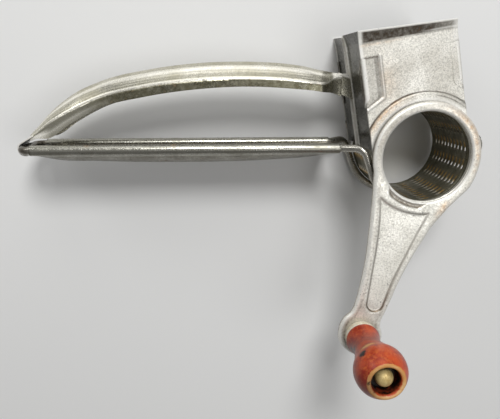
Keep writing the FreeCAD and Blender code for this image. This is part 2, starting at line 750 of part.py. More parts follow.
def pusher_rivets():
    """Two rivets through the foot and the plate: domed outside, flat towards the drum."""
    seat = PRESS_OUTER + s.bracket_sheet
    bare = Part.makeCylinder(PRESS_INNER, 2 * s.hopper_depth)
    rivets = []
    for angle in foot_rivet_angles():
        shank = radial_rod(s.rivet_radius, PRESS_INNER - s.flush_head, seat + s.rivet_head_height / 2, angle)
        flat = radial_rod(s.rivet_head_radius, PRESS_INNER - s.flush_head, PRESS_INNER + 1, angle).common(bare)
        head = radial_rod(s.rivet_head_radius, seat - 1, seat + s.rivet_head_height, angle)
        head = head.cut(Part.makeCylinder(seat, 2 * s.hopper_depth))
        rivets.append(shank.fuse([flat, head]).removeSplitter())
    return feature("pusher_rivets", Part.makeCompound(rivets), HOPPER)


def drum():
    """The shredding drum: a thin tube with two pressed beads and rows of cuts."""
    low = BACK_FACE + s.drum_end_gap
    shape = Part.makeCylinder(DRUM_OUTER, PLATE_BACK - low, V(0, 0, low))
    half = s.bead_width / 2
    for z in (MID - CRADLE_HALF, MID + CRADLE_HALF):
        shape = shape.fuse(Part.makeCylinder(BEAD_OUTER, s.bead_width, V(0, 0, z - half)))
    shape = shape.cut(Part.makeCylinder(s.drum_bore, 2 * s.hopper_depth))
    for z in (MID - CRADLE_HALF, MID + CRADLE_HALF):
        hollow = s.bead_width - s.drum_sheet
        shape = shape.cut(Part.makeCylinder(s.drum_bore + s.bead_raise, hollow, V(0, 0, z - hollow / 2)))
    cuts = []
    rows = int(s.slot_rows)
    count = int(s.slots_per_row)
    for row in range(rows):
        for column in range(count):
            z = MID + (column - (count - 1) / 2) * s.slot_pitch - s.cut_width / 2
            corner = V(s.drum_bore - s.cut_length / 2, -s.cut_length / 2, z)
            cut = Part.makeBox(s.cut_length, s.cut_length, s.cut_width, corner)
            cut.rotate(V(0, 0, 0), UP, 360 / rows * (row + s.row_offset))
            cuts.append(cut)
    shape = shape.cut(Part.makeCompound(cuts))
    return feature("drum", shape, UPRIGHT)


def through(first, middle, last):
    """A circular edge through three (x, y) points."""
    return Part.Arc(V(*first, 0), V(*middle, 0), V(*last, 0)).toShape()


def arm_points(shares):
    """Points of the arm's outline, given as shares of the eye's distance along X and along Y."""
    return [(s.eye_x * across, s.eye_y * along) for across, along in shares]


def inset(points, amount):
    """The same run of points, each moved to the left of the way the run goes."""
    moved = []
    for i, (x, y) in enumerate(points):
        before = points[max(i - 1, 0)]
        after = points[min(i + 1, len(points) - 1)]
        along = V(after[0] - before[0], after[1] - before[1], 0).normalize()
        moved.append((x - along.y * amount, y + along.x * amount))
    return moved


def arm_and_ring(left, right, inward, low, high):
    """The crank's outline between two heights, moved inwards by one amount all round."""
    left = inset(left, inward)
    right = inset(right, inward)
    bottom = (s.eye_x, s.eye_y - s.eye_radius + inward)
    edges = [smooth(left), smooth(right), through(left[-1], bottom, right[0])]
    edges += polyline([right[-1], left[0]])
    ring = Part.makeCylinder(s.ring_rim - inward, high - low, V(0, 0, low))
    return slab(edges, low, high).fuse(ring)


def crank_arm():
    """A pressed plate: a ring with a collar in the drum, an arm with a sunk panel, and an eye for the knob."""
    eye = V(s.eye_x, s.eye_y, 0)
    left = arm_points([
        (0.9139, 0.0622), (0.9139, 0.1953), (0.9344, 0.3644), (0.9836, 0.5821), (1.0369, 0.6903),
        (1.0984, 0.7873), (1.1803, 0.8582), (1.3033, 0.8943), (1.3730, 0.9353), (1.4016, 0.9838),
        (1.3852, 1.0336), (1.3156, 1.0721), (1.2336, 1.0945),
    ])
    right = arm_points([
        (0.6270, 0.9614), (0.6148, 0.9154), (0.5615, 0.8769), (0.4918, 0.8209), (0.3607, 0.7077),
        (0.0861, 0.5236), (-0.0697, 0.4366), (-0.1680, 0.3831), (-0.3238, 0.3209),
        (-0.4713, 0.2662), (-0.6393, 0.2139), (-0.7910, 0.1654), (-0.8934, 0.0995),
    ])
    shape = arm_and_ring(left, right, 0.0, RIM_BACK, PLATE_FRONT)
    shape = shape.cut(arm_and_ring(left, right, s.plate, RIM_BACK, PLATE_BACK))
    collar = s.drum_bore - s.collar_fit
    shape = shape.fuse(Part.makeCylinder(collar, s.collar_depth, V(0, 0, PLATE_BACK - s.collar_depth)))
    shape = shape.cut(Part.makeCylinder(s.ring_bore, 2 * PLATE_FRONT))

    floor = PLATE_FRONT - s.plate_recess
    panel_left = arm_points([
        (0.7910, 0.2052), (0.7746, 0.3047), (0.7910, 0.4478), (0.8607, 0.6542), (0.9180, 0.8134),
    ])
    panel_right = arm_points([
        (0.6025, 0.8159), (0.4754, 0.6928), (0.2377, 0.5224), (0.0246, 0.3744), (-0.0984, 0.3010),
    ])
    end_middle = arm_points([(0.7582, 0.8607)])[0]
    top_middle = arm_points([(0.3893, 0.2811)])[0]
    round_end = through(panel_left[-1], end_middle, panel_right[0])
    top = through(panel_right[-1], top_middle, panel_left[0])
    border = [smooth(panel_left), round_end, smooth(panel_right), top]
    under = floor - 0.75 * s.plate
    shape = shape.fuse([
        slab(border, under, PLATE_BACK),
        sector(s.groove_inner, s.groove_outer, under, PLATE_BACK, s.groove_start, s.groove_end),
    ])
    shape = shape.cut([
        slab(border, floor, PLATE_FRONT + 1),
        sector(s.groove_inner, s.groove_outer, floor, PLATE_FRONT + 1, s.groove_start, s.groove_end),
    ])
    hole = Part.makeCylinder(s.pin_radius + s.rivet_fit, 3 * s.plate, eye + V(0, 0, PLATE_BACK - s.plate))
    return feature("crank_arm", shape.cut(hole).removeSplitter(), UPRIGHT)


def at_eye(low):
    """Where a turned piece of the knob stands, as expressions."""
    return ("Sizes.eye_x", "Sizes.eye_y", low)


FRONT_OF_PLATE = "(Sizes.hopper_depth + 2 * Sizes.lip_flare + Sizes.plate_lip_gap + Sizes.plate_rim)"
KNOB_FOOT = "(" + FRONT_OF_PLATE + " + Sizes.washer_height + Sizes.knob_gap)"
WASHER_SEAT = "(" + KNOB_FOOT + " + Sizes.knob_length - Sizes.recess_depth + Sizes.knob_gap)"


def washer(label, low, radius, height):
    """A flat washer round the knob's pin."""
    body = new_body(label, UPRIGHT)
    step(body, "AdditiveCylinder", "Disc", at=at_eye(low), Radius=radius, Height=height)
    step(body, "SubtractiveCylinder", "Hole", at=at_eye("0"), Radius="Sizes.pin_radius + Sizes.rivet_fit",
         Height="3 * Sizes.hopper_depth")
    return body


def knob():
    """The turned wooden knob: narrow waist, full bulb, and a recess for the pin's head."""
    foot = PLATE_FRONT + s.washer_height + s.knob_gap
    top = s.knob_length
    outside = [
        (s.knob_base_radius, 0.025 * top),
        (0.89 * s.knob_base_radius, 0.12 * top),
        (s.knob_waist_radius, 0.3 * top),
        (0.6 * s.knob_waist_radius + 0.4 * s.knob_bulb_radius, 0.5 * top),
        (s.knob_bulb_radius, 0.735 * top),
        (0.92 * s.knob_bulb_radius, 0.89 * top),
        (s.knob_rim_radius, top),
    ]
    edges = [smooth(outside)]
    base_edge = (0.92 * s.knob_base_radius, 0.0)
    edges += polyline([outside[-1], (0.0, top), (0.0, 0.0), base_edge, outside[0]])
    shape = Part.Face(Part.Wire(Part.__sortEdges__(edges))).revolve(V(0, 0, 0), V(0, 1, 0), 360)
    shape.rotate(V(0, 0, 0), V(1, 0, 0), 90)
    shape.translate(V(s.eye_x, s.eye_y, foot))
    floor = V(s.eye_x, s.eye_y, foot + top - s.recess_depth)
    recess = Part.makeCylinder(s.recess_radius, 2 * s.recess_depth, floor)
    bore = Part.makeCylinder(s.pin_radius + s.pin_fit, 2 * top, V(s.eye_x, s.eye_y, foot - 1))
    shape = shape.cut([recess, bore])
    return feature("knob", shape, UPRIGHT)


def knob_pin():
    """The knob's pin: riveted behind the arm, with a tall domed head in the knob's recess."""
    tail = PLATE_BACK - s.pin_tail_height
    foot = PLATE_FRONT + s.washer_height + s.knob_gap
    seat = foot + s.knob_length - s.recess_depth + s.knob_gap + s.pin_washer_height
    shank = Part.makeCylinder(s.pin_radius, seat - tail, V(s.eye_x, s.eye_y, tail))
    neck = s.pin_head_height - s.pin_head_radius
    collar = Part.makeCylinder(s.pin_head_radius, neck, V(s.eye_x, s.eye_y, seat))
    head = dome(s.pin_head_radius, s.pin_head_radius)
    head.translate(V(s.eye_x, s.eye_y, seat + neck))
    peened = dome(s.pin_head_radius, s.pin_tail_height)
    peened.rotate(V(0, 0, 0), V(1, 0, 0), 180)
    peened.translate(V(s.eye_x, s.eye_y, PLATE_BACK))
    return feature("knob_pin", shank.fuse([collar, head, peened]).removeSplitter(), UPRIGHT)


subparts = [
    end_wall("hopper_front_wall", 1),
    end_wall("hopper_back_wall", -1),
    left_panel("hopper_left_front_panel", 1),
    left_panel("hopper_left_back_panel", -1),
    right_wall(),
    wire_frame(),
    lower_grip(),
    upper_handle(),
    pusher_plate(),
    pusher_bracket(),
    bracket_rivets(),
    pusher_rivets(),
    drum(),
    crank_arm(),
    washer("knob_washer", FRONT_OF_PLATE, "Sizes.washer_radius", "Sizes.washer_height"),
    knob(),
    knob_pin(),
    washer("pin_washer", WASHER_SEAT, "Sizes.pin_washer_radius", "Sizes.pin_washer_height"),
]
doc.recompute()

for item in doc.Objects:
    if "Invalid" in item.State or "Error" in item.State:
        raise RuntimeError("%s did not build: %s" % (item.Label, item.State))

os.makedirs("parts", exist_ok=True)
whole = FreeCAD.BoundBox()
for item in subparts:
    if item.Shape.isNull() or not item.Shape.isValid() or not item.Shape.Solids:
        raise RuntimeError(item.Label + " has no sound shape")
    item.Shape.exportStep("parts/%s.step" % item.Label)
    whole.add(item.Shape.BoundBox)
    box = item.Shape.BoundBox
    print("%-24s solids %d volume %9.1f  x %7.1f %7.1f  y %7.1f %7.1f  z %6.2f %6.2f" % (
        item.Label, len(item.Shape.Solids), item.Shape.Volume,
        box.XMin, box.XMax, box.YMin, box.YMax, box.ZMin, box.ZMax))
print("whole x %.2f %.2f y %.2f %.2f z %.2f %.2f" % (
    whole.XMin, whole.XMax, whole.YMin, whole.YMax, whole.ZMin, whole.ZMax))
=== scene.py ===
"""The looks of a hand-held rotary shredder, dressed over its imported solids.

Shapes are worked out in millimetres about the drum's axis, with z above the plane that the shredder lies
on, and go into the frame's metres in one place, to_frame(). Hopper pieces are drawn upright and turned by
the hopper's tilt, as the solids are.
"""

import json
import math

import bpy
import numpy as np
from mathutils import Matrix, Vector, geometry, noise


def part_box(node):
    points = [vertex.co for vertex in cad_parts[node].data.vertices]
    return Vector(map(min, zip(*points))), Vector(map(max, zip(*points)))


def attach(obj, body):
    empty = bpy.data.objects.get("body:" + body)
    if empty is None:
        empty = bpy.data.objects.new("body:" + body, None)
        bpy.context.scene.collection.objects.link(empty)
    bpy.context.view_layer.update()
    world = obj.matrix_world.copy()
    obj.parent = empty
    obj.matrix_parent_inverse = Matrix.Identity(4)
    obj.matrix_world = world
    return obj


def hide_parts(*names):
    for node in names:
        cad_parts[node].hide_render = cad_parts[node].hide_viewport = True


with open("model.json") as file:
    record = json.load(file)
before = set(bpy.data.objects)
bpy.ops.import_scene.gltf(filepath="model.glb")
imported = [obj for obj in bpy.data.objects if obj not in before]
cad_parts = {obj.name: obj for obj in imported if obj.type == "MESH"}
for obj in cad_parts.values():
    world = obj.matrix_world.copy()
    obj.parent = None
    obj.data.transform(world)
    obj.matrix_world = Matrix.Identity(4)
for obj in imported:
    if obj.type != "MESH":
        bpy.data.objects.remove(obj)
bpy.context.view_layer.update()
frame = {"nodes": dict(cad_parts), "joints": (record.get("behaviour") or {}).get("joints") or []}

MM = 0.001
JOINTS = {joint["name"]: joint for joint in frame["joints"]}
AXIS = np.array(JOINTS["crank_spin"]["pos_m"]) / MM
EYE = np.array(JOINTS["knob_spin"]["pos_m"]) / MM - AXIS
HINGE = np.array(JOINTS["handle_hinge"]["pos_m"]) / MM - AXIS
MID = AXIS[2]
TILT = math.radians(10.5)


def heights(node):
    """A node's lowest and highest z, in millimetres."""
    low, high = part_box(node)
    return low.z / MM, high.z / MM


# hopper, upright about the drum's axis
LEFT = -21.9
RIGHT_TOP = 18.2
RIGHT_LOW = 19.1
DEPTH = 41.0
CREASE = 50.0
SLANT = math.tan(math.radians(0.85))
LIP_RISE = 4.9
LIP_RISE_RIGHT = 3.3
LIP_FLARE = 1.6
SIDE_FLARE = 0.2
SLOT_LEAN = 1.3
SLOT_FLARE = 1.2
TIN = 0.6
HORN = 4.2
PANEL_FOOT = 6.5
BEND = 13.5
SLOT = 3.2
SLOT_DIP = 0.8
SLOT_HEM = 0.9
RIB = 26.8
RIB_RAISE = 0.6
EAR = (23.05, 3.75)
BAR = (25.3, 1.5)
LAP_TOP = 44.0
LAP_LEFT = 6.8
LAP_RIGHT = 3.7
LAP_LENGTH = 19.5
LAP_TAPER = 3.6
PANEL_SHEET = 0.4
LAP_BEFORE_FOLD = 3.5
# each lap: name, way from the middle, width, sheet and rounding
LAPS = (("left", -1, LAP_LEFT, 0.4, 0.1), ("right", 1, LAP_RIGHT, 0.2, 0.08))
TAB_RIDGE = 0.35

# drum and crank
BORE = 19.8
DRUM_SHEET = 0.5
BEAD_RAISE = 0.6
BEAD_WIDTH = 2.4
ROWS = 16
COLUMNS = 10
PITCH = 3.35
ROW_OFFSET = 0.42
BEAD_OUTER = BORE + DRUM_SHEET + BEAD_RAISE
# round one scoop: millimetres of arc from its middle, height, painted highlight on its edge, and golden stain
SCOOP_ROUND = (
    (-3.3, 0.0, 0.0, 0.0), (-2.1, 0.0, 0.4, 0.0), (-1.95, 0.02, 1.0, 0.3), (-0.55, 0.62, 1.0, 0.6),
    (-0.45, 0.66, 0.5, 1.0), (0.1, 0.55, 0.0, 1.0), (0.8, 0.34, 0.0, 1.0), (1.5, 0.12, 0.0, 1.0),
    (2.1, 0.0, 0.0, 0.6), (2.6, 0.0, 0.0, 0.1),
)
# which of those places the slit follows
SLIT = 2
# across one scoop: millimetres from its middle and share of the height
SCOOP_ACROSS = (
    (-1.5, 0.0), (-0.92, 0.0), (-0.7, 0.5), (-0.4, 0.9), (0.0, 1.0), (0.4, 0.9), (0.7, 0.5), (0.92, 0.0),
)
ARCH = BEAD_OUTER + 0.6
PLATE_BACK, PLATE_FRONT = 45.7, heights("knob_washer")[0]
RIM_BACK = PLATE_FRONT - 2.0
RING_BORE = 19.0
RING_RIM = 23.0
EYE_RADIUS = 10.3
CRANK_SHEET = 0.7
COLLAR = 2.6
PIN = 2.3

# wire and handles
WIRE = 1.6
CRADLE = BEAD_OUTER + 0.3 + WIRE
CRADLE_HALF = DEPTH / 2 - TIN - 0.2 - WIRE
RUN_HEIGHT = HINGE[1]
RUN_HALF = 12.0
HINGE_BEND = 4.2
SLEEVE_FIT = 0.95
SLEEVE_SHIFT = 0.4
TONGUE = 13.0
GRIP_ENDS = (-165.6, -34.6)
GRIP_SHEET = 0.55
GRIP_BELLY = 4.8

# upper handle: the distance from the drum's axis to the hinge bar, and its greatest heights and width
SPAN = 170.0
CROWN = 38.6
CROWN_RISE = 6.6
FLANGE = 3.5
HANDLE_WIDTH = 16.0
HANDLE_SHEET = 0.6
BLADE_SHEET = 1.6
PUSHER_SHEET = 0.6
# stations along the span: place, crown, rise, flange and width, as shares of the values above
HANDLE = (
    (0.984, 0.240, 0.250, 0.480, 0.690), (0.971, 0.295, 0.360, 0.640, 0.740),
    (0.935, 0.456, 0.606, 1.840, 0.860), (0.882, 0.640, 0.939, 1.600, 0.938),
    (0.806, 0.792, 0.955, 1.314, 1.000), (0.694, 0.907, 0.955, 1.257, 1.000),
    (0.559, 0.984, 1.000, 1.114, 1.000), (0.441, 1.000, 1.000, 1.000, 1.000),
    (0.324, 0.972, 0.970, 1.000, 1.000), (0.262, 0.930, 0.900, 0.950, 0.990),
    (0.245, 0.916, 0.850, 1.020, 0.940), (0.230, 0.903, 0.660, 1.300, 0.640),
    (0.216, 0.892, 0.400, 1.750, 0.300), (0.203, 0.884, 0.260, 2.100, 0.180),
    (0.190, 0.880, 0.220, 2.400, 0.150),
)


# ---------------------------------------------------------------- shapes

def to_frame(points):
    """Millimetres about the drum's axis to metres in the part's frame."""
    moved = np.array(points, float)
    moved[:, 0] += AXIS[0]
    moved[:, 1] += AXIS[1]
    return moved * MM


def turned(points):
    """Upright hopper points, turned by the tilt about the drum's axis."""
    moved = np.array(points, float)
    x = moved[..., 0].copy()
    y = moved[..., 1].copy()
    moved[..., 0] = x * math.cos(TILT) - y * math.sin(TILT)
    moved[..., 1] = x * math.sin(TILT) + y * math.cos(TILT)
    return moved


def ease(value, start, end):
    """0 before start, 1 after end, and a smooth rise between them."""
    t = np.clip((np.asarray(value, float) - start) / (end - start), 0, 1)
    return t * t * (3 - 2 * t)


def band(value, middle, width):
    """1 at the middle, and a smooth fall to nearly 0 at twice the width from it."""
    return np.exp(-((value - middle) / width) ** 2)


def stretches(*parts):
    """Numbers in stretches, each given by its start, its end and how many it has."""
    return np.concatenate([np.linspace(*part) for part in parts])


def ripple(points, size, amount, seed):
    """A slow unevenness, as hand-worked sheet has."""
    shift = Vector((seed, 2 * seed, 3 * seed))
    return np.array([amount * noise.noise(Vector(p) / size + shift) for p in points])


def lengths_along(line):
    """How far along a line of points each point lies."""
    return np.concatenate([[0], np.cumsum(np.linalg.norm(np.diff(line, axis=0), axis=1))])


def resample(line, count, closed=False):
    """Points spaced evenly along a line of points."""
    line = np.array(line, float)
    if closed:
        line = np.vstack([line, line[:1]])
    length = lengths_along(line)
    at = np.linspace(0, length[-1], count, endpoint=not closed)
    return np.stack([np.interp(at, length, line[:, i]) for i in range(line.shape[1])], axis=1)


def rounded(corners, radii, step, closed=False):
    """A line through corners, each rounded with an arc of its radius."""
    corners = [np.array(c, float) for c in corners]
    count = len(corners)
    line = []
    for i, corner in enumerate(corners):
        if radii[i] <= 0 or (not closed and i in (0, count - 1)):
            line.append(corner)
            continue
        before = corners[i - 1] - corner
        after = corners[(i + 1) % count] - corner
        before /= np.linalg.norm(before)
        after /= np.linalg.norm(after)
        half = math.acos(np.clip(before @ after, -1, 1)) / 2
        centre = corner + (before + after) / np.linalg.norm(before + after) * radii[i] / math.sin(half)
        first = corner + before * radii[i] / math.tan(half) - centre
        last = corner + after * radii[i] / math.tan(half) - centre
        turn = math.pi - 2 * half
        side = last - first * math.cos(turn)
        side *= radii[i] / np.linalg.norm(side)
        for angle in np.linspace(0, turn, max(4, int(turn * radii[i] / step))):
            line.append(centre + first * math.cos(angle) + side * math.sin(angle))
    return np.array(line)


class Surface:
    """Points and faces of one piece, gathered from patches, with marks for rubbing and painted highlights, for
    soiling and painted shade, and for copper tarnish.
    """

    def __init__(self):
        self.points = []
        self.faces = []
        # the first mark lays rubbed spots and painted highlights, the second soiling and painted shade
        self.marks = {"wear": [], "grime": [], "copper": []}
        self.count = 0

    def add(self, points, faces, **marks):
        points = np.asarray(points, float).reshape(-1, 3)
        self.points.append(points)
        self.faces += [tuple(self.count + i for i in face) for face in faces]
        for name, values in self.marks.items():
            given = marks.get(name)
            values.append(np.zeros(len(points)) if given is None else np.asarray(given, float).reshape(-1))
        self.count += len(points)
        return self

    def grid(self, rows, close_rows=False, close_columns=False, keep=None, **marks):
        """A patch from an array of rows of points; keep says which cells have a face."""
        rows = np.asarray(rows, float)
        n, m = rows.shape[:2]
        faces = []
        for i in range(n if close_rows else n - 1):
            for j in range(m if close_columns else m - 1):
                if keep is not None and not keep[i][j]:
                    continue
                k = (i + 1) % n
                q = (j + 1) % m
                faces.append((i * m + j, k * m + j, k * m + q, i * m + q))
        return self.add(rows.reshape(-1, 3), faces, **marks)


def piece(name, body, nodes, material, surface, sheet=0.0, bevel=0.0, frame_of=None, angle=35):
    """Make a surface into a shown piece: thicken it, round its edges and let it stand for CAD nodes."""
    points = np.vstack(surface.points)
    if frame_of == "hopper":
        points = turned(points)
    mesh = bpy.data.meshes.new(name)
    mesh.from_pydata(to_frame(points).tolist(), [], surface.faces)
    for mark, values in surface.marks.items():
        values = np.clip(np.concatenate(values), 0, 1).astype(np.float32)
        mesh.attributes.new(mark, "FLOAT", "POINT").data.foreach_set("value", values)
    mesh.validate()
    obj = bpy.data.objects.new(name, mesh)
    bpy.context.scene.collection.objects.link(obj)
    weld = obj.modifiers.new("Weld", "WELD")
    weld.merge_threshold = 0.00001
    if sheet:
        solid = obj.modifiers.new("Sheet", "SOLIDIFY")
        solid.thickness = sheet * MM
        solid.offset = 0
    if bevel:
        soft = obj.modifiers.new("Edge", "BEVEL")
        soft.width = bevel * MM
        soft.segments = 2
        soft.limit_method = "ANGLE"
        soft.angle_limit = math.radians(50)
    done = bpy.data.meshes.new_from_object(obj.evaluated_get(bpy.context.evaluated_depsgraph_get()))
    obj.modifiers.clear()
    obj.data = done
    done.name = name
    for polygon in done.polygons:
        polygon.use_smooth = True
    done.set_sharp_from_angle(angle=math.radians(angle))
    done.materials.clear()
    done.materials.append(material)
    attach(obj, body)
    if nodes:
        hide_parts(*nodes)
    return obj


def swept(line, across):
    """Rows of points: a line of (x, y), each carried to every place across from the middle plane."""
    return [[(x, y, MID + z) for z in across] for x, y in line]


def lathe(surface, profile, centre, count, **marks):
    """A turned shape about a vertical line; profile is a list of (radius, z), marks one for each point."""
    rows = []
    for angle in np.arange(count) * (2 * math.pi / count):
        across, up = math.cos(angle), math.sin(angle)
        rows.append([(centre[0] + r * across, centre[1] + r * up, z) for r, z in profile])
    return surface.grid(rows, close_rows=True, **marks)


def tube(surface, path, radius, count, **marks):
    """A round rod along a smooth closed path; marks have one value for each point round each place."""
    n = len(path)
    ahead = np.roll(path, -1, axis=0) - np.roll(path, 1, axis=0)
    ahead /= np.linalg.norm(ahead, axis=1)[:, None]
    side = np.cross(ahead[0], (0.0, 0.0, 1.0))
    if np.linalg.norm(side) < 0.1:
        side = np.cross(ahead[0], (0.0, 1.0, 0.0))
    sides = []
    for i in range(n):
        side = side - ahead[i] * (side @ ahead[i])
        side /= np.linalg.norm(side)
        sides.append(side)
    # the sides have turned by the end of the path, so every place takes its share of the turn back
    last = sides[-1] - ahead[0] * (sides[-1] @ ahead[0])
    twist = math.atan2(last @ np.cross(ahead[0], sides[0]), last @ sides[0])
    rows = []
    for i in range(n):
        up = np.cross(ahead[i], sides[i])
        angles = np.linspace(0, 2 * math.pi, count, endpoint=False) - twist * i / n
        rows.append([path[i] + radius * (sides[i] * math.cos(a) + up * math.sin(a)) for a in angles])
    return surface.grid(rows, close_rows=True, close_columns=True, **marks)


# ---------------------------------------------------------------- hopper

def crease_at(x):
    """Height of the mouth's crease, which slants down to the right."""
    return CREASE - (x - LEFT) * SLANT


def lip_top_at(x):
    """Height of the lip's top edge."""
    left = CREASE + LIP_RISE
    right = crease_at(RIGHT_TOP) + LIP_RISE_RIGHT
    return left + (right - left) * (x - LEFT) / (RIGHT_TOP - LEFT)


def lip_bend(above):
    """How far the lip leans out at a height above the crease, as a share of its flare."""
    return np.where(above > -0.6, ((np.maximum(above + 0.6, 0)) / (LIP_RISE + 0.6)) ** 1.25, 0.0)


def wall_face():
    """Places on an upright end wall, in rows from the drum's arch up to the lip's edge."""
    count = 210
    arc = circle(ARCH, 200, math.pi - math.asin(HORN / ARCH), math.asin(EAR[1] / ARCH))
    bottom = resample([(LEFT, HORN), *arc, EAR], count)
    top_x = np.linspace(LEFT, RIGHT_TOP, count)
    top = np.stack([top_x, lip_top_at(top_x)], axis=1)
    # the rows lie closer together at the rib and at the lip
    share = np.unique(stretches((0, 0.26, 54), (0.26, 0.84, 50), (0.84, 1, 34)))
    left = np.stack([np.full(len(share), LEFT), HORN + (top[0][1] - HORN) * share], axis=1)
    fine = 400
    line = resample([EAR, (RIGHT_LOW, BEND), (RIGHT_TOP, crease_at(RIGHT_TOP)), top[-1]], fine)
    right = line[np.round(share * (fine - 1)).astype(int)]
    s = np.linspace(0, 1, count)[:, None]
    rows = []
    for k, t in enumerate(share):
        along = bottom * (1 - t) + top * t
        across = left[k] * (1 - s) + right[k] * s
        corners = (1 - t) * ((1 - s) * bottom[0] + s * bottom[-1]) + t * ((1 - s) * top[0] + s * top[-1])
        rows.append(along + across - corners)
    return np.array(rows)


def tab_outline(x, y):
    """The ridge pressed beside the left tab, and the distances from the tab's edge and from its top."""
    spots = np.stack([x.ravel(), y.ravel()], axis=1)
    foot = LAP_TOP - LAP_LENGTH
    inner = LEFT + LAP_LEFT
    tab = [(LEFT, LAP_TOP), (inner, LAP_TOP), (inner, foot + LAP_TAPER), (LEFT, foot)]
    from_edge = distance_to(spots, tab, closed=False).reshape(x.shape)
    from_top = distance_to(spots, tab[:2], closed=False).reshape(x.shape)
    outside = signed(spots, tab).reshape(x.shape) < 0
    return band(from_edge, 1.1, 0.5) * outside * (y < LAP_TOP + 0.4), from_edge, from_top


def wall_marks(x, y, outward, ridge, from_edge, from_top):
    """Where an end wall is bright, dark or coppery along its rib, tab, crease and lip: painted highlights and
    a rubbed lip edge, painted shade in lines and a darker lip, and copper tarnish.
    """
    radius = np.hypot(x, y)
    turn = np.degrees(np.arctan2(y, x))
    above = y - crease_at(x)
    to_top = lip_top_at(x) - y
    on_left = ease(turn, 78, 112)
    on_right = 1 - ease(turn, 66, 80)
    # bright: the lip's top edge rubbed bright, a bright band inside the rib, and painted highlights along the
    # tab's ridge, the left corner's bend, the right edge and just above the crease
    wear = (
        0.9 * (1 - ease(to_top, 0.2, 0.6)) + 0.6 * band(radius, RIB - 3.0, 0.8) + 0.5 * ridge
        + 0.8 * ease(LEFT + 1.6 - x, 0, 0.8) * ease(above, -7, -5)
        + 0.5 * ease(x, RIGHT_TOP - 2.6, RIGHT_TOP - 1.2) * ease(above, -9, -3)
        + 0.7 * band(above, 0.7, 0.3) * ease(x, 2, 9)
    )
    # painted shade for a notch that widens towards the right corner, on the front wall only
    notch = (x > RIGHT_TOP - 3.6) * band(y, LAP_TOP - 0.2, 0.15 + 0.18 * (x - RIGHT_TOP + 3.6))
    lip = ease(above, 0.0, 0.5) * ease(to_top, 0.35, 0.7) * ease(x, LEFT + 0.6, LEFT + 2.4)
    lip = lip * (1 - 0.40 * ease(x, 6, 16)) * (1 - 0.8 * ease(x, RIGHT_TOP - 1.6, RIGHT_TOP - 0.4))
    # dark: painted shade and rust at the rib's foot, heavier on the left; a second line on the right; a
    # painted shadow line just outside the arch; painted shade for the slit over the tab, along the tab's edge,
    # in the notch and in the crease; and a darker lip
    grime = (
        (0.8 + 0.6 * on_left) * band(radius, RIB, 0.34 + 0.16 * on_left)
        + 0.7 * on_right * band(radius, RIB - 1.4, 0.30) + 0.35 * band(radius, ARCH + 1.2, 0.4)
        + band(from_top, 0, 0.36) + 0.35 * band(from_edge, 0, 0.4) + 0.8 * notch * (outward > 0)
        + 0.45 * band(above, -0.1, 0.4) + lip
    )
    copper = (
        band(turn, 128, 22) * (0.9 * band(radius, RIB - 0.9, 0.5) + 0.5 * band(radius, RIB - 2.2, 0.6))
        + 0.30 * band(x, -13, 4.5) * band(y, 33, 8)
        + 0.30 * band(above, -0.9, 0.5) * (1 - ease(x, -12, 2))
    )
    return {"wear": wear, "grime": grime, "copper": copper}


def end_wall(outward):
    """Front or back wall: sheet with a raised rib round the drum's arch and a lip that flares outwards."""
    flat = wall_face()
    x, y = flat[..., 0], flat[..., 1]
    radius = np.hypot(x, y)
    above = y - crease_at(x)
    tab = tab_outline(x, y)
    rib = RIB_RAISE * (1 - ease(radius, RIB - 0.7, RIB + 0.2)) * (0.7 + 0.3 * ease(radius, ARCH, ARCH + 1.5))
    plane = np.stack([x, y, np.zeros_like(x)], axis=-1)
    uneven = ripple(plane.reshape(-1, 3), 16.0, 0.16, seed=outward + 3.0).reshape(x.shape)
    uneven = uneven * ease(radius, RIB, RIB + 6) * (1 - ease(above, -6, 0))
    z = DEPTH / 2 - TIN / 2 + rib + LIP_FLARE * lip_bend(above) + uneven + TAB_RIDGE * tab[0]
    flare = SIDE_FLARE * lip_bend(above) * np.clip(1 - (x - LEFT) / 6, 0, 1)
    points = np.stack([x - flare, y, MID + outward * z], axis=-1)
    return Surface().grid(points, **wall_marks(x, y, outward, *tab))


def lap(side, outward, width, sheet):
    """A side wall's tab, folded round the corner and flat on an end wall."""
    half = sheet / 2
    count = 22
    face = DEPTH / 2
    ups = np.linspace(LAP_TOP - LAP_LENGTH, LAP_TOP, 40)
    rows = []
    for y in ups:
        right = RIGHT_LOW - (RIGHT_LOW - RIGHT_TOP) * (y - BEND) / (crease_at(RIGHT_TOP) - BEND)
        edge = LEFT - half if side < 0 else right + half
        reach = width * (0.04 + 0.96 * float(ease((y - ups[0]) / LAP_TAPER, -0.15, 1.15)))
        end = edge - side * (reach + half)
        corners = [(edge, face - LAP_BEFORE_FOLD), (edge, face + half), (end, face + half)]
        path = resample(rounded(corners, [0, min(0.45, 0.4 * reach), 0], step=0.08), count)
        rows.append([(x, y, MID + outward * z) for x, z in path])
    shade = 1.0 if side < 0 else 0.0
    fold = int(count * LAP_BEFORE_FOLD / (LAP_BEFORE_FOLD + width))
    wear = np.zeros((len(ups), count))
    # a painted highlight on the fold's bend
    wear[:, fold + 1:fold + 4] = 0.8
    # the left lap is a little darker all over; painted shade on the part lying on the side wall, and on the
    # left lap a painted shade line along its inner edge and a painted shade slit along its top
    grime = np.full(wear.shape, 0.28 * shade)
    grime[:, :fold] = 0.95
    grime[:, -4:] = 0.6 * shade
    grime[-1:, :] = shade
    return Surface().grid(rows, wear=wear, grime=grime)


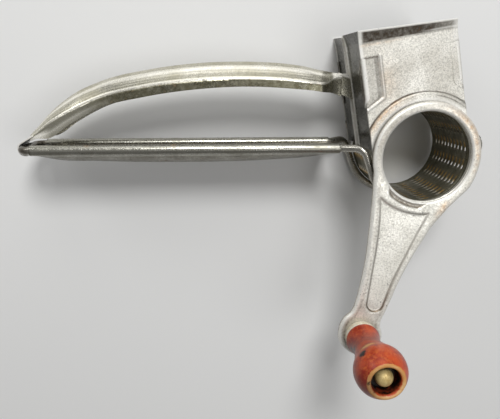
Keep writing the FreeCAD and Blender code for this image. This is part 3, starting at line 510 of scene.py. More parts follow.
def left_panel(outward):
    """Half of the wall with the blade's slot: its slot edge is hemmed and its lip curls outwards."""
    near = SLOT / 2
    far = DEPTH / 2 - TIN
    depths = stretches((near, near + 1.2, 8), (near + 1.6, far - 1.0, 26), (far - 0.7, far, 4))
    ups = stretches((PANEL_FOOT, CREASE - 2, 60), (CREASE - 1.7, lip_top_at(LEFT), 22))
    hem_size = SLOT_HEM * (1.6 if outward < 0 else 0.8)
    flange = (0.75, 0.3, -0.2)
    # painted highlights along the hemmed slot edge and at the corner with the end wall; darker on the lip
    # above the crease
    rows, worn_and_lit, dark = [], [], []
    for y in ups:
        lean = float(lip_bend(y - CREASE))
        dip = SLOT_DIP * lean * (outward < 0)
        edge = MID + outward * (near + 0.04 - lean * SLOT_FLARE)
        row = [(LEFT + inward - SLOT_LEAN * lean, y - dip, edge) for inward in flange]
        worn_and_lit += [1.0] * len(flange)
        dark += [0.0] * len(flange)
        for depth in depths:
            share = (depth - near) / (far - near)
            widen = lean * (LIP_FLARE * share - SLOT_FLARE * (1 - share))
            hem = hem_size * (1 - ease(depth, near, near + 0.9))
            flare = SLOT_LEAN + (SIDE_FLARE - SLOT_LEAN) * share
            x = LEFT + TIN / 2 - flare * lean - hem * (1 - 0.5 * lean)
            row.append((x, y - dip * (1 - share), MID + outward * (depth + widen)))
            worn_and_lit.append(0.95 * (1 - ease(depth, near, near + 1.0)) + 0.5 * ease(depth, far - 1.2, far - 0.6))
            dark.append(0.8 * ease(y, CREASE - 1, CREASE + 1) * ease(depth, near + 0.9, near + 1.6))
        rows.append(row)
    return Surface().grid(rows, wear=worn_and_lit, grime=dark)


def right_wall():
    """The wall behind the drum: its lip, the wall with its slant below, and the roll round the crossbar."""
    half = TIN / 2
    far = DEPTH / 2 - TIN
    face = RIGHT_TOP - half
    seat = (EAR[0] + half, EAR[1] + 0.1)
    corners = [(face, crease_at(RIGHT_TOP) + 0.4), (RIGHT_LOW - half, BEND), seat]
    across = np.linspace(-1, 1, 60)
    rows = []
    for up in np.linspace(LIP_RISE_RIGHT, 0.6, 10):
        reach = far + LIP_FLARE * float(lip_bend(np.array(up)))
        rows += swept([(face, crease_at(RIGHT_TOP) + up)], across * reach)
    rows += swept(resample(rounded(corners, [0, 4.0, 0], step=0.3), 90), across * far)
    surface = Surface().grid(rows)
    roll = 1.65 + half
    start = math.atan2(EAR[1] - BAR[1], seat[0] - BAR[0])
    path = [seat, *circle(roll, 46, start + 0.1, start - 2 * math.pi + 0.9, BAR)]
    return surface.grid(swept(path, np.linspace(-14.5, 14.5, 40)))


# ---------------------------------------------------------------- wire, grip and handle

def wire_path():
    """The bent wire's middle line: hinge bar, runs, cradles and crossbar."""
    run_high = RUN_HEIGHT + 0.6
    turn_radius = 4.8
    turn_x, turn_y = -28.9, run_high - turn_radius
    apart = math.hypot(turn_x, turn_y)
    heading = math.atan2(-turn_y, -turn_x) - math.asin((CRADLE + turn_radius) / apart)
    touch_x = turn_x - turn_radius * math.sin(heading)
    touch_y = turn_y + turn_radius * math.cos(heading)
    bend_x = touch_x + (run_high - touch_y) * math.cos(heading) / math.sin(heading)
    bar_x, bar_y = turned([BAR])[0]
    leave = math.atan2(bar_y, bar_x) - math.acos(CRADLE / math.hypot(bar_x, bar_y))
    first = heading - math.pi / 2
    spread = (leave - first) / 2
    middle = (leave + first) / 2
    below = (CRADLE / math.cos(spread) * math.cos(middle), CRADLE / math.cos(spread) * math.sin(middle))
    near = [
        ((HINGE[0], RUN_HEIGHT, RUN_HALF), HINGE_BEND),
        ((-34.0, RUN_HEIGHT, RUN_HALF), 4.0),
        ((bend_x, run_high, CRADLE_HALF), turn_radius),
        ((below[0], below[1], CRADLE_HALF), CRADLE),
        ((bar_x, bar_y, CRADLE_HALF), 3.4),
    ]
    far = [((p[0], p[1], -p[2]), r) for p, r in reversed(near)]
    corners = [(p[0], p[1], p[2] + MID) for p, r in near + far]
    radii = [r for p, r in near + far]
    return rounded(corners, radii, step=0.5, closed=True)


def wire_frame():
    """The wire as a closed round rod, dark at the hinge bar."""
    path = resample(wire_path(), 900, closed=True)
    bar = 1 - ease(path[:, 0], -SPAN + 2.5, -SPAN + 5.0)
    count = 24
    grime = np.repeat(0.9 * bar[:, None], count, axis=1)
    return tube(Surface(), path, WIRE, count, grime=grime)


def lower_grip():
    """One sheet rolled round both runs of the wire, with a belly that hangs between them."""
    start, end = GRIP_ENDS
    roll = WIRE + 0.05 + GRIP_SHEET / 2
    bottom = RUN_HEIGHT - roll
    width = RUN_HALF - roll * 0.1
    curl = circle(roll, 34, math.radians(175), math.radians(-88), (RUN_HALF, RUN_HEIGHT)).tolist()
    other = [(-z, y) for z, y in reversed(curl)]
    across = np.linspace(1, -1, 41)[1:-1]
    along = np.linspace(0, 1, 150)
    falls = [(0.0, 0.12), (0.05, 0.55), (0.2, 0.82), (0.5, 1.0), (0.78, 0.84), (0.93, 0.5), (1.0, 0.12)]
    rows, grime_and_shade_values, rusted = [], [], []
    for a, fall in zip(along, smooth_through(falls, along)):
        x = start + (end - start) * a
        low = bottom - fall * GRIP_BELLY
        belly = [(width * q, low + (bottom - low) * abs(q) ** 2.2) for q in across]
        rows.append([(x, y, MID + z) for z, y in curl + belly + other])
        # darker at the hinge end; painted shade on the lower side of each roll and across the belly between
        # them
        ends = 0.8 * (1 - ease(x, start + 0.1, start + 0.9))
        curl_grime = [ends + 0.35 * float(k > 22) for k in range(len(curl))]
        belly_grime = [ends + 0.6 * float(abs(q) < 0.93) for q in across]
        grime_and_shade_values.append(curl_grime + belly_grime + curl_grime[::-1])
        spots = sum(0.9 * band(x, place, 1.0) for place in (-142.0, -106.0))
        rusted.append([spots * band(k, 12, 3.5) for k in range(len(curl))] + [0.0] * len(belly + other))
    return Surface().grid(rows, grime=grime_and_shade_values, copper=rusted)


def smooth_through(stations, at):
    """Values at each place of a smooth line through (place, value) stations."""
    xs = np.array([p for p, v in stations], float)
    ys = np.array([v for p, v in stations], float)
    slopes = np.gradient(ys, xs)
    at = np.asarray(at, float)
    i = np.clip(np.searchsorted(xs, at) - 1, 0, len(xs) - 2)
    h = xs[i + 1] - xs[i]
    t = (at - xs[i]) / h
    return (
        ys[i] * (1 + 2 * t) * (1 - t) ** 2 + slopes[i] * h * t * (1 - t) ** 2
        + ys[i + 1] * t * t * (3 - 2 * t) + slopes[i + 1] * h * t * t * (t - 1)
    )


def handle_marks(x, top, low_rim):
    """Bright and dark marks across the handle at a place, down one flange, over the crown and down the other:
    rubbing with painted highlights, tarnish with painted shade.
    """
    fold = float(ease(x, -42.5, -40) * (1 - ease(x, -37.5, -36)))
    tip = float(ease(x, -37.5, -35.5))
    hinge_end = float(1 - ease(x, -150, -128))
    out = abs(top)
    # painted highlights along the crown's edges, in a band over the crown and on the pinched tip
    crown_wear = 0.9 * band(out, 0.975, 0.035) + 0.65 * band(out, 0.56, 0.09)
    crown_wear = crown_wear * (1 - 0.7 * fold) + 0.9 * tip
    # dark streaks along the crown, painted shade between the ribs; darker along the crown's middle; golden
    # marks at the fold
    streaks = ((0.77, 0.07, 0.40), (0.90, 0.03, 0.75), (0.66, 0.025, 0.60), (0.42, 0.03, 0.40))
    shade = sum(depth * band(out, place, width) for place, width, depth in streaks)
    shade = (shade + 0.35 * (1 - ease(out, 0.30, 0.42))) * (1 - fold - tip) + 0.6 * fold
    # the flanges: painted highlights on their top edges and near the hinge end, and tarnish with painted shade
    # over them
    flange_wear = 0.45 * hinge_end * band(low_rim, 0.62, 0.12) + 0.5 * (low_rim < 0.1)
    flange_wear = flange_wear + 0.8 * float(1 - ease(x, -164, -157)) * (low_rim > 0.3)
    flange_grime = 0.97 - 0.42 * hinge_end - 0.25 * tip - 0.3 * hinge_end * ease(low_rim, 0.55, 0.8)
    wear = np.concatenate([flange_wear[::-1], crown_wear, flange_wear])
    return wear, np.concatenate([flange_grime[::-1], shade, flange_grime])


def upper_handle():
    """The long ribbed channel, drawn in at the hinge and pinched flat at its other end."""
    at = np.linspace(-HANDLE[0][0], -HANDLE[-1][0], 200)
    full = (CROWN, CROWN_RISE, FLANGE, HANDLE_WIDTH)
    crown, rise, flange, width = (
        size * smooth_through([(-row[0], row[i + 1]) for row in HANDLE], at) for i, size in enumerate(full)
    )
    top = np.linspace(-1, 1, 85)
    deep = 9
    rows, bright, grime_and_shade_values = [], [], []
    for k, x in enumerate(at * SPAN):
        half = width[k] / 2 - HANDLE_SHEET / 2
        ridge = crown[k] - rise[k]
        ribs = 0.32 * ease(x, -150, -120) * (1 - ease(x, -50, -43))
        down = np.linspace(0.25, flange[k], deep)
        lift = rise[k] * (1 - top * top) - HANDLE_SHEET / 2
        wave = ribs * np.cos(top * math.pi * 4.0) * (1 - ease(abs(top), 0.84, 0.95))
        row = [(x, ridge - d, MID - half) for d in down[::-1]]
        row += [(x, ridge + rib, MID + half * q) for rib, q in zip(lift + wave, top)]
        row += [(x, ridge - d, MID + half) for d in down]
        rows.append(row)
        wear, grime = handle_marks(x, top, np.linspace(0, 1, deep))
        bright.append(wear)
        grime_and_shade_values.append(grime)
    return Surface().grid(rows, wear=bright, grime=grime_and_shade_values)


def handle_tongue():
    """The strip at the handle's end, rolled round the hinge bar."""
    roll = WIRE + SLEEVE_FIT + HANDLE_SHEET / 2
    centre = np.array([HINGE[0] + SLEEVE_SHIFT, HINGE[1]])
    place, crown, rise = HANDLE[0][:3]
    end_x = -SPAN * place - centre[0]
    end_y = CROWN * crown - CROWN_RISE * rise - RUN_HEIGHT
    outer = roll + HANDLE_SHEET / 2
    slope = math.atan2(end_y, end_x) - math.asin(outer / math.hypot(end_x, end_y))
    length = math.sqrt(end_x ** 2 + end_y ** 2 - outer ** 2) + 1.5
    way = np.array([math.cos(slope), math.sin(slope)])
    up = np.array([-way[1], way[0]])
    line = [up * roll + way * d for d in np.linspace(length, 0, 12)]
    line += list(circle(roll, 50, slope + math.pi / 2, math.radians(330))[1:])
    half, rim = TONGUE / 2, 0.35
    across = np.concatenate([[-half], np.linspace(-half + rim, half - rim, 14), [half]])
    rows = swept(np.array(line) + centre, across)
    # the tongue's two edges are bright, as rubbed edges and painted highlights; the rest is dark with grease
    edge = np.tile(abs(across) > half - 0.4, (len(rows), 1))
    return Surface().grid(rows, wear=edge * 1.0, grime=0.9 * (1 - edge))


def blade():
    """The handle's end, pressed flat on edge, that runs through the slot."""
    outer = BEAD_OUTER + 1.3
    reach, heel, top, bottom, nose = 9.5, 11.0, 38.7, 27.0, 29.0
    upright = [(reach, math.sqrt(outer ** 2 - reach ** 2)), (reach, nose), (LEFT, top)]
    heel_y = math.sqrt(outer ** 2 - heel ** 2)
    back = [(LEFT, bottom), (-(heel - LEFT) / 2, (bottom + outer) / 2), (-heel, heel_y)]
    angles = np.linspace(-math.asin(heel / outer), math.asin(reach / outer), 24)[1:-1]
    seat = [(outer * math.sin(a), outer * math.cos(a)) for a in angles]
    root = [(-SPAN * 0.2206, CROWN * 0.865), (-SPAN * 0.2118, CROWN * 0.687)]
    ring = resample(np.vstack([turned(upright), root, turned(back), turned(seat)]), 260, closed=True)
    # the fold along the top widens from the pinch to the slot
    fold = np.array([(-35.6, 34.0), (-32.0, 33.0), (-28.6, 31.9), (-20.0, 29.0)])

    def under_fold(flat):
        return np.interp(flat[:, 0], fold[:, 0], fold[:, 1]) - flat[:, 1]

    def height(flat):
        return MID + 0.4 * (1 - ease(under_fold(flat), -0.35, 0.05))

    # a painted highlight along the top above the fold, and painted shade just under it, over the tarnished
    # face
    def marks(flat):
        below = under_fold(flat)
        return {"wear": 1 - ease(below, -0.3, -0.1), "grime": 0.55 + 0.45 * band(below, 0.1, 0.25)}

    line = resample(fold, 30)
    guides = [line + (0, lift) for lift in (-0.25, 0.0, 0.2, 0.4)]
    return filled(ring, 0.7, height, guides, marks)


# ---------------------------------------------------------------- plates from outlines

def distance_to(points, line, closed=True):
    """Each point's distance to a line of points."""
    line = np.asarray(line, float)
    a = line
    b = np.roll(line, -1, axis=0)
    if not closed:
        a, b = a[:-1], b[:-1]
    best = np.full(len(points), 1e9)
    for start in range(0, len(a), 64):
        p = points[:, None, :]
        u = a[None, start:start + 64]
        w = b[None, start:start + 64] - u
        t = np.clip(((p - u) * w).sum(-1) / np.maximum((w * w).sum(-1), 1e-12), 0, 1)
        gap = np.linalg.norm(p - u - t[..., None] * w, axis=-1)
        best = np.minimum(best, gap.min(axis=1))
    return best


def inside(points, line):
    """Which points lie inside a closed line."""
    x, y = points[:, 0], points[:, 1]
    hit = np.zeros(len(points), bool)
    for (x1, y1), (x2, y2) in zip(line, np.roll(line, -1, axis=0)):
        if y1 == y2:
            continue
        crosses = (y1 > y) != (y2 > y)
        hit ^= crosses & (x < (x2 - x1) * (y - y1) / (y2 - y1) + x1)
    return hit


def signed(points, line):
    """Distance to a closed line, positive inside it."""
    gap = distance_to(points, line)
    return np.where(inside(points, line), gap, -gap)


def shifted(line, amount):
    """A closed line moved inwards by amount, point by point."""
    before = np.roll(line, 1, axis=0)
    after = np.roll(line, -1, axis=0)
    along = after - before
    along /= np.linalg.norm(along, axis=1)[:, None]
    area = 0.5 * np.sum(line[:, 0] * after[:, 1] - after[:, 0] * line[:, 1])
    normal = np.stack([-along[:, 1], along[:, 0]], axis=1) * (1 if area > 0 else -1)
    return line + normal * amount


def filled(ring, spacing, height, guides, marks, holes=()):
    """A flat outline with holes, filled with triangles; height and marks give the points' z and marks."""
    low, high = ring.min(axis=0), ring.max(axis=0)
    xs = np.arange(low[0], high[0], spacing)
    ys = np.arange(low[1], high[1], spacing)
    grid = np.array([(x + (spacing / 2 if k % 2 else 0), y) for k, y in enumerate(ys) for x in xs])

    def within(spots, margin):
        keep = signed(spots, ring) > margin
        for hole in holes:
            keep &= signed(spots, hole) < -margin
        return keep

    keep = signed(grid, ring) > 0.6 * spacing
    for line in [*holes, *guides]:
        keep &= distance_to(grid, line) > 0.5 * spacing
    points = [spots[within(spots, 0.05)] for spots in (grid[keep], *guides)]
    edges = []
    count = 0
    for line in (ring, *holes):
        n = len(line)
        edges += [(count + i, count + (i + 1) % n) for i in range(n)]
        count += n
    every = np.vstack([ring, *holes, *points])
    made = geometry.delaunay_2d_cdt([Vector(p) for p in every], edges, [], 0, 1e-5)
    flat = np.array([tuple(v) for v in made[0]])
    faces = np.array(made[2])
    good = within(flat[faces].mean(axis=1), 0)
    solid = np.column_stack([flat, height(flat)])
    return Surface().add(solid, [tuple(face) for face in faces[good]], **marks(flat))


# ---------------------------------------------------------------- presser

def pusher_plate():
    """The curved plate over the drum, its two ends turned up round a small bend."""
    radius = BEAD_OUTER + 1.0
    right, left, turn_up = 43.0, 142.0, 7.0
    half = DEPTH / 2 - TIN - 1.6
    arc = circle(radius, 70, math.radians(right + 3), math.radians(left - 3))
    ends = circle(radius, 2, math.radians(right), math.radians(left))
    corners = [ends[0] + (0, turn_up), ends[0], *arc, ends[1], ends[1] + (0, turn_up)]
    radii = [0, 1.2] + [0] * len(arc) + [1.2, 0]
    line = resample(rounded(corners, radii, step=0.15), 130)
    return Surface().grid(swept(line, np.linspace(-half, half, 40)))


# ---------------------------------------------------------------- drum

def drum():
    """The shredding drum: a rim flared out at its low end, two pressed beads and rows of raised scoops, each
    with a slit.
    """
    rest = BORE + DRUM_SHEET / 2
    low, high = 1.8, PLATE_BACK - 0.1
    half = BEAD_WIDTH / 2
    beads = (MID - CRADLE_HALF, MID + CRADLE_HALF)
    lower = [low, low + 0.25, low + 0.5, *np.linspace(beads[0] - half, beads[0] + half, 9)]
    upper = stretches((beads[1] - half, beads[1] + half, 9), (beads[1] + half + 0.6, high, 6))
    # up the side: z, the share of a scoop's height, and whether a slit runs on from there
    side = [(z, 0.0, False) for z in lower]
    for column in range(COLUMNS):
        centre = MID - COLUMNS / 2 * PITCH + PITCH * (column + 0.5)
        side += [(centre + across, share, -0.8 < across < 0.5) for across, share in SCOOP_ACROSS]
    side += [(z, 0.0, False) for z in upper]
    rows, keep, bright, grime_and_shade_values = [], [], [], []
    for row in range(ROWS):
        middle = 2 * math.pi / ROWS * (row + ROW_OFFSET)
        for k, (arc, height, edge, stain) in enumerate(SCOOP_ROUND):
            angle = middle + arc / rest
            line = []
            for z, share, _ in side:
                push = height * share
                for bead in beads:
                    t = (z - bead) / half
                    if abs(t) < 1:
                        push += BEAD_RAISE * math.cos(t * math.pi / 2) ** 0.7
                if z < low + 0.4:
                    push += 0.35 * (1 - (z - low) / 0.4)
                radius = rest + push
                line.append((radius * math.cos(angle), radius * math.sin(angle), z))
                # painted highlights on the scoops' raised edges and along the low rim
                bright.append(share * edge + 0.8 * float(z < low + 0.3))
                grime_and_shade_values.append(share * stain)
            rows.append(line)
            keep.append([not (k == SLIT and slit) for _, _, slit in side])
    return Surface().grid(rows, close_rows=True, keep=keep, wear=bright, grime=grime_and_shade_values)


# ---------------------------------------------------------------- crank and knob

def shares_to_points(shares):
    """Points of the arm's outline, as shares of the eye's distance along x and along y."""
    return np.array([(EYE[0] * a, EYE[1] * b) for a, b in shares])


def spline(points, count):
    """A smooth line through points."""
    length = lengths_along(points)
    at = np.linspace(0, length[-1], count)
    return np.stack([smooth_through(list(zip(length, points[:, i])), at) for i in (0, 1)], axis=1)


def circle(radius, count, start=0.0, end=2 * math.pi, centre=(0.0, 0.0)):
    """Points along a circle's arc."""
    angles = np.linspace(start, end, count)
    return np.stack([centre[0] + radius * np.cos(angles), centre[1] + radius * np.sin(angles)], axis=1)


def crank_outline():
    """The crank's outer outline: round the ring, down the arm's right side, round the eye and back up."""
    left = shares_to_points([
        (0.9139, 0.0622), (0.9139, 0.1953), (0.9344, 0.3644), (0.9836, 0.5821), (1.0369, 0.6903),
        (1.0984, 0.7873), (1.1803, 0.8582), (1.3033, 0.8943), (1.3730, 0.9353), (1.4016, 0.9838),
        (1.3852, 1.0336), (1.3156, 1.0721), (1.2336, 1.0945),
    ])
    right = shares_to_points([
        (0.6270, 0.9614), (0.6148, 0.9154), (0.5615, 0.8769), (0.4918, 0.8209), (0.3607, 0.7077),
        (0.0861, 0.5236), (-0.0697, 0.4366), (-0.1680, 0.3831), (-0.3238, 0.3209),
        (-0.4713, 0.2662), (-0.6393, 0.2139), (-0.7910, 0.1654), (-0.8934, 0.0995),
    ])
    bottom = np.array([EYE[0], EYE[1] - EYE_RADIUS])
    left_line = spline(left, 300)
    right_line = spline(right, 300)
    eye_arc = arc_through(left_line[-1], bottom, right_line[0], 80)
    arm = np.vstack([left_line, eye_arc[1:-1], right_line])
    arm = arm[np.hypot(arm[:, 0], arm[:, 1]) > RING_RIM]
    first = math.atan2(arm[-1][1], arm[-1][0])
    last = math.atan2(arm[0][1], arm[0][0])
    while last < first:
        last += 2 * math.pi
    ring = circle(RING_RIM, 240, first, last)[1:-1]
    return resample(np.vstack([arm, ring]), 760, closed=True)


def arc_through(first, middle, last, count):
    """Points of the circle through three points, from first to last."""
    (ax, ay), (bx, by), (cx, cy) = first, middle, last
    d = 2 * (ax * (by - cy) + bx * (cy - ay) + cx * (ay - by))
    far_a, far_b, far_c = [x * x + y * y for x, y in (first, middle, last)]
    ux = (far_a * (by - cy) + far_b * (cy - ay) + far_c * (ay - by)) / d
    uy = (far_a * (cx - bx) + far_b * (ax - cx) + far_c * (bx - ax)) / d
    radius = math.hypot(ax - ux, ay - uy)
    a, b, c = [math.atan2(p[1] - uy, p[0] - ux) for p in (first, middle, last)]
    while b < a:
        b += 2 * math.pi
    while c < a:
        c += 2 * math.pi
    if b > c:
        c -= 2 * math.pi
    return circle(radius, count, a, c, (ux, uy))


def panel_outline():
    """The sunk panel of the arm."""
    left = spline(shares_to_points([
        (0.7910, 0.2052), (0.7746, 0.3047), (0.7910, 0.4478), (0.8607, 0.6542), (0.9180, 0.8134),
    ]), 90)
    right = spline(shares_to_points([
        (0.6025, 0.8159), (0.4754, 0.6928), (0.2377, 0.5224), (0.0246, 0.3744), (-0.0984, 0.3010),
    ]), 90)
    end = arc_through(left[-1], shares_to_points([(0.7582, 0.8607)])[0], right[0], 30)
    top = arc_through(right[-1], shares_to_points([(0.3893, 0.2811)])[0], left[0], 50)
    return resample(np.vstack([left, end[1:-1], right, top[1:-1]]), 300, closed=True)


def groove_outline():
    """The short sunk crescent beside the ring's bore."""
    inner, width, start, end = 19.9, 2.2, 216.5, 275.0
    turn = np.linspace(start, end, 70)
    radii = inner + 0.12 + width * ease(turn, start, 228) * (1 - ease(turn, 262, end))
    angles = np.radians(turn)
    outer = np.stack([radii * np.cos(angles), radii * np.sin(angles)], axis=1)
    return resample(np.vstack([outer, circle(inner, 60, angles[-1], angles[0])]), 130, closed=True)


def crank_marks(flat, rim, panel, groove):
    """Where the crank is bright, dark or coppery: painted highlights on its edges and round its bore, painted
    shade round its panel, in its groove, on its ring's left side and along its left border, a rust ring round
    its eye, and copper.
    """
    x, down = flat[:, 0], -flat[:, 1]
    radius = np.hypot(x, down)
    turn = np.degrees(np.arctan2(-down, x))
    edge = distance_to(flat, rim)
    from_eye = np.hypot(x - EYE[0], -down - EYE[1])
    in_groove = signed(flat, groove)
    # painted shade, partly soiling, in the crease round the panel, heavier lower down and lighter at the upper
    # left
    strength = 0.35 + 0.25 * ease(down, 25, 45) + 0.5 * ease(down, 58, 68)
    strength = strength * (1 - 0.6 * (x < -8) * (down < 24))
    line = strength * band(signed(flat, panel), -0.05, 0.30)
    tan = 0.40 * (1 - ease(from_eye, 8.0, 10.0)) + 0.28 * band(from_eye, 13.5, 3) * (edge > 1)
    # painted shade in the groove
    sunk = 0.6 * ease(in_groove, -0.1, 0.3) + 0.4 * band(in_groove, 0.4, 0.3) * (radius > 21)
    # painted shade on the ring's left side
    around = np.abs((turn - 150 + 180) % 360 - 180)
    grey = 0.50 * band(around, 0, 42) * (radius < RING_RIM) * ease(edge, 0.5, 1.0)
    # painted shade along the left border
    border = 0.45 * band(edge, 2.0, 0.3) * (x < 0) * ease(down, 6, 14)
    copper = 0.9 * band(turn, -69, 8) * band(edge, 1.9, 1.5) * (radius > 21)
    golden = band(turn, 20, 42) * band(edge, 1.3, 0.35) * (radius > 20)
    golden = golden + 0.6 * band(turn, 35, 38) * (radius > 20) * (radius < 22.6)
    # painted highlights along the outer edge and round the bore's lip
    wear = 0.6 * band(edge, 0.35, 0.5) + 0.8 * band(radius, RING_BORE + 0.6, 0.4)
    return {"wear": wear, "grime": line + tan + sunk + grey + border, "copper": copper + 0.8 * golden}


def crank_arm():
    """A pressed plate with rounded shoulders, a down-turned rim, a collar, a sunk panel and a groove."""
    panel = panel_outline()
    groove = groove_outline()
    top = PLATE_FRONT - CRANK_SHEET / 2
    bend = 0.9
    bore_radius = RING_BORE + CRANK_SHEET / 2
    bore = circle(bore_radius, 200)[:-1]
    rim = shifted(crank_outline(), CRANK_SHEET / 2)

    def height(flat):
        edge = distance_to(flat, rim)
        hole = np.abs(np.hypot(flat[:, 0], flat[:, 1]) - bore_radius)
        drop = np.zeros(len(flat))
        for gap in (edge, hole):
            t = np.clip(gap / bend, 0, 1)
            drop = np.maximum(drop, bend * (1 - np.sqrt(np.clip(1 - (1 - t) ** 2, 0, 1))))
        sunk = 0.55 * ease(signed(flat, panel), -0.55, 0.5) + 0.7 * ease(signed(flat, groove), -0.2, 0.7)
        wave = ripple(np.column_stack([flat, np.zeros(len(flat))]), 18.0, 0.14, seed=9.0)
        return top - drop - sunk + wave * ease(np.minimum(edge, hole), 0.5, 3.0)

    def marks(flat):
        return crank_marks(flat, rim, panel, groove)

    guides = []
    for amount in (0.08, 0.25, 0.5, 0.9):
        guides += [shifted(rim, amount), circle(bore_radius + amount, 200)[:-1]]
    for amount in (-0.55, -0.2, 0.15, 0.5):
        guides += [shifted(panel, amount), shifted(groove, amount)]
    surface = filled(rim, 0.8, height, guides, marks, holes=[bore])
    for outline, low, steps, grime in ((rim, RIM_BACK, 5, 0.6), (bore, PLATE_BACK - COLLAR, 6, 0.0)):
        rows = [[(x, y, z) for x, y in outline] for z in np.linspace(top - bend, low, steps)]
        surface.grid(rows, close_columns=True, grime=np.full(steps * len(outline), grime))
    return surface


def knob_marks(t, side):
    """Bare wood, and a dark spot with painted shade, on the knob's outside, at a share of its length and a
    side in degrees.
    """
    rings = band(t, 0.997, 0.014) + 0.6 * band(t, 0.02, 0.02)
    bare = rings + 0.95 * band(t, 0.61, 0.07) * band(side, 116, 34)
    spot = band(t, 0.735, 0.045) * band(side, 136, 10)
    # a dark spot, with painted shade on the lower-left side and at the waist under the bulb
    return bare, spot + 0.60 * band(side, 205, 55) + 0.35 * band(t, 0.3, 0.12)


def knob():
    """The turned knob: flat foot, narrow waist, full bulb, rolled rim and a recess for the pin's head."""
    foot, crest = heights("knob")
    length = crest - foot
    base, waist, bulb, rim = 7.55, 6.4, 10.7, 7.7
    sunk = 1 - 6.0 / length
    outside = smooth_profile([
        (base, 0.035), (0.89 * base, 0.12), (waist, 0.3), (0.6 * waist + 0.4 * bulb, 0.5),
        (bulb, 0.735), (0.92 * bulb, 0.89), (rim, 0.992),
    ], 90)
    profile = [(2.5, 0.0), (0.6 * base, 0.0), (0.9 * base, 0.0), (0.98 * base, 0.012), *outside]
    profile += [(0.95 * rim, 0.999), (0.9 * rim, 1.0), (0.85 * rim, 0.998), (0.79 * rim, 0.985)]
    recess = [(5.8, 0.96), (5.75, 0.9), (5.75, sunk + 0.01), (5.6, sunk), (4.0, sunk), (2.5, sunk)]
    wear, grime = [], []
    count = 120
    for side in np.linspace(0, 360, count, endpoint=False):
        marks = [knob_marks(t, side) for r, t in profile]
        # the recess is painted dark all round: painted shade inside it
        marks += [(0.0, 1.0 if t < 0.93 else 0.8) for r, t in recess]
        wear += [bare for bare, spot_and_shade in marks]
        grime += [spot_and_shade for bare, spot_and_shade in marks]
    lines = [(r, foot + t * length) for r, t in profile + recess]
    return lathe(Surface(), lines, EYE, count=count, wear=wear, grime=grime)


def smooth_profile(stations, count):
    """A smooth outline through (radius, share of the length) stations."""
    shares = np.linspace(stations[0][1], stations[-1][1], count)
    radii = smooth_through([(t, r) for r, t in stations], shares)
    return list(zip(radii, shares))


def knob_pin():
    """The pin's domed head in the knob's recess, its shank, and its riveted tail behind the arm."""
    low, high = heights("knob_pin")
    head, shank = 3.6, PIN
    neck = high - head
    profile = [(0.01, low), (1.6, low + 0.12), (2.9, low + 0.5), (head - 0.1, low + 0.88), (shank, low + 0.9)]
    profile += [(shank, neck - 1.4), (head - 0.15, neck - 1.4), (head, neck - 1.2)]
    profile += circle(head, 22, 0, math.pi / 2 - 0.01, (0.0, neck)).tolist()
    return lathe(Surface(), profile, EYE, count=64)


def ring_washer(node, outer):
    """A washer with rounded edges, round the pin."""
    low, high = heights(node)
    inner = PIN + 0.04
    soft = min(0.3, (high - low) / 3)
    third = soft / 3
    profile = [
        (inner, low + soft / 2), (inner + soft / 2, low), (outer - soft, low), (outer - third, low + third),
        (outer, low + soft), (outer, high - soft), (outer - third, high - third), (outer - soft, high),
        (inner + soft / 2, high), (inner, high - soft / 2), (inner, low + soft / 2),
    ]
    return lathe(Surface(), profile, EYE, count=80)


# ---------------------------------------------------------------- materials

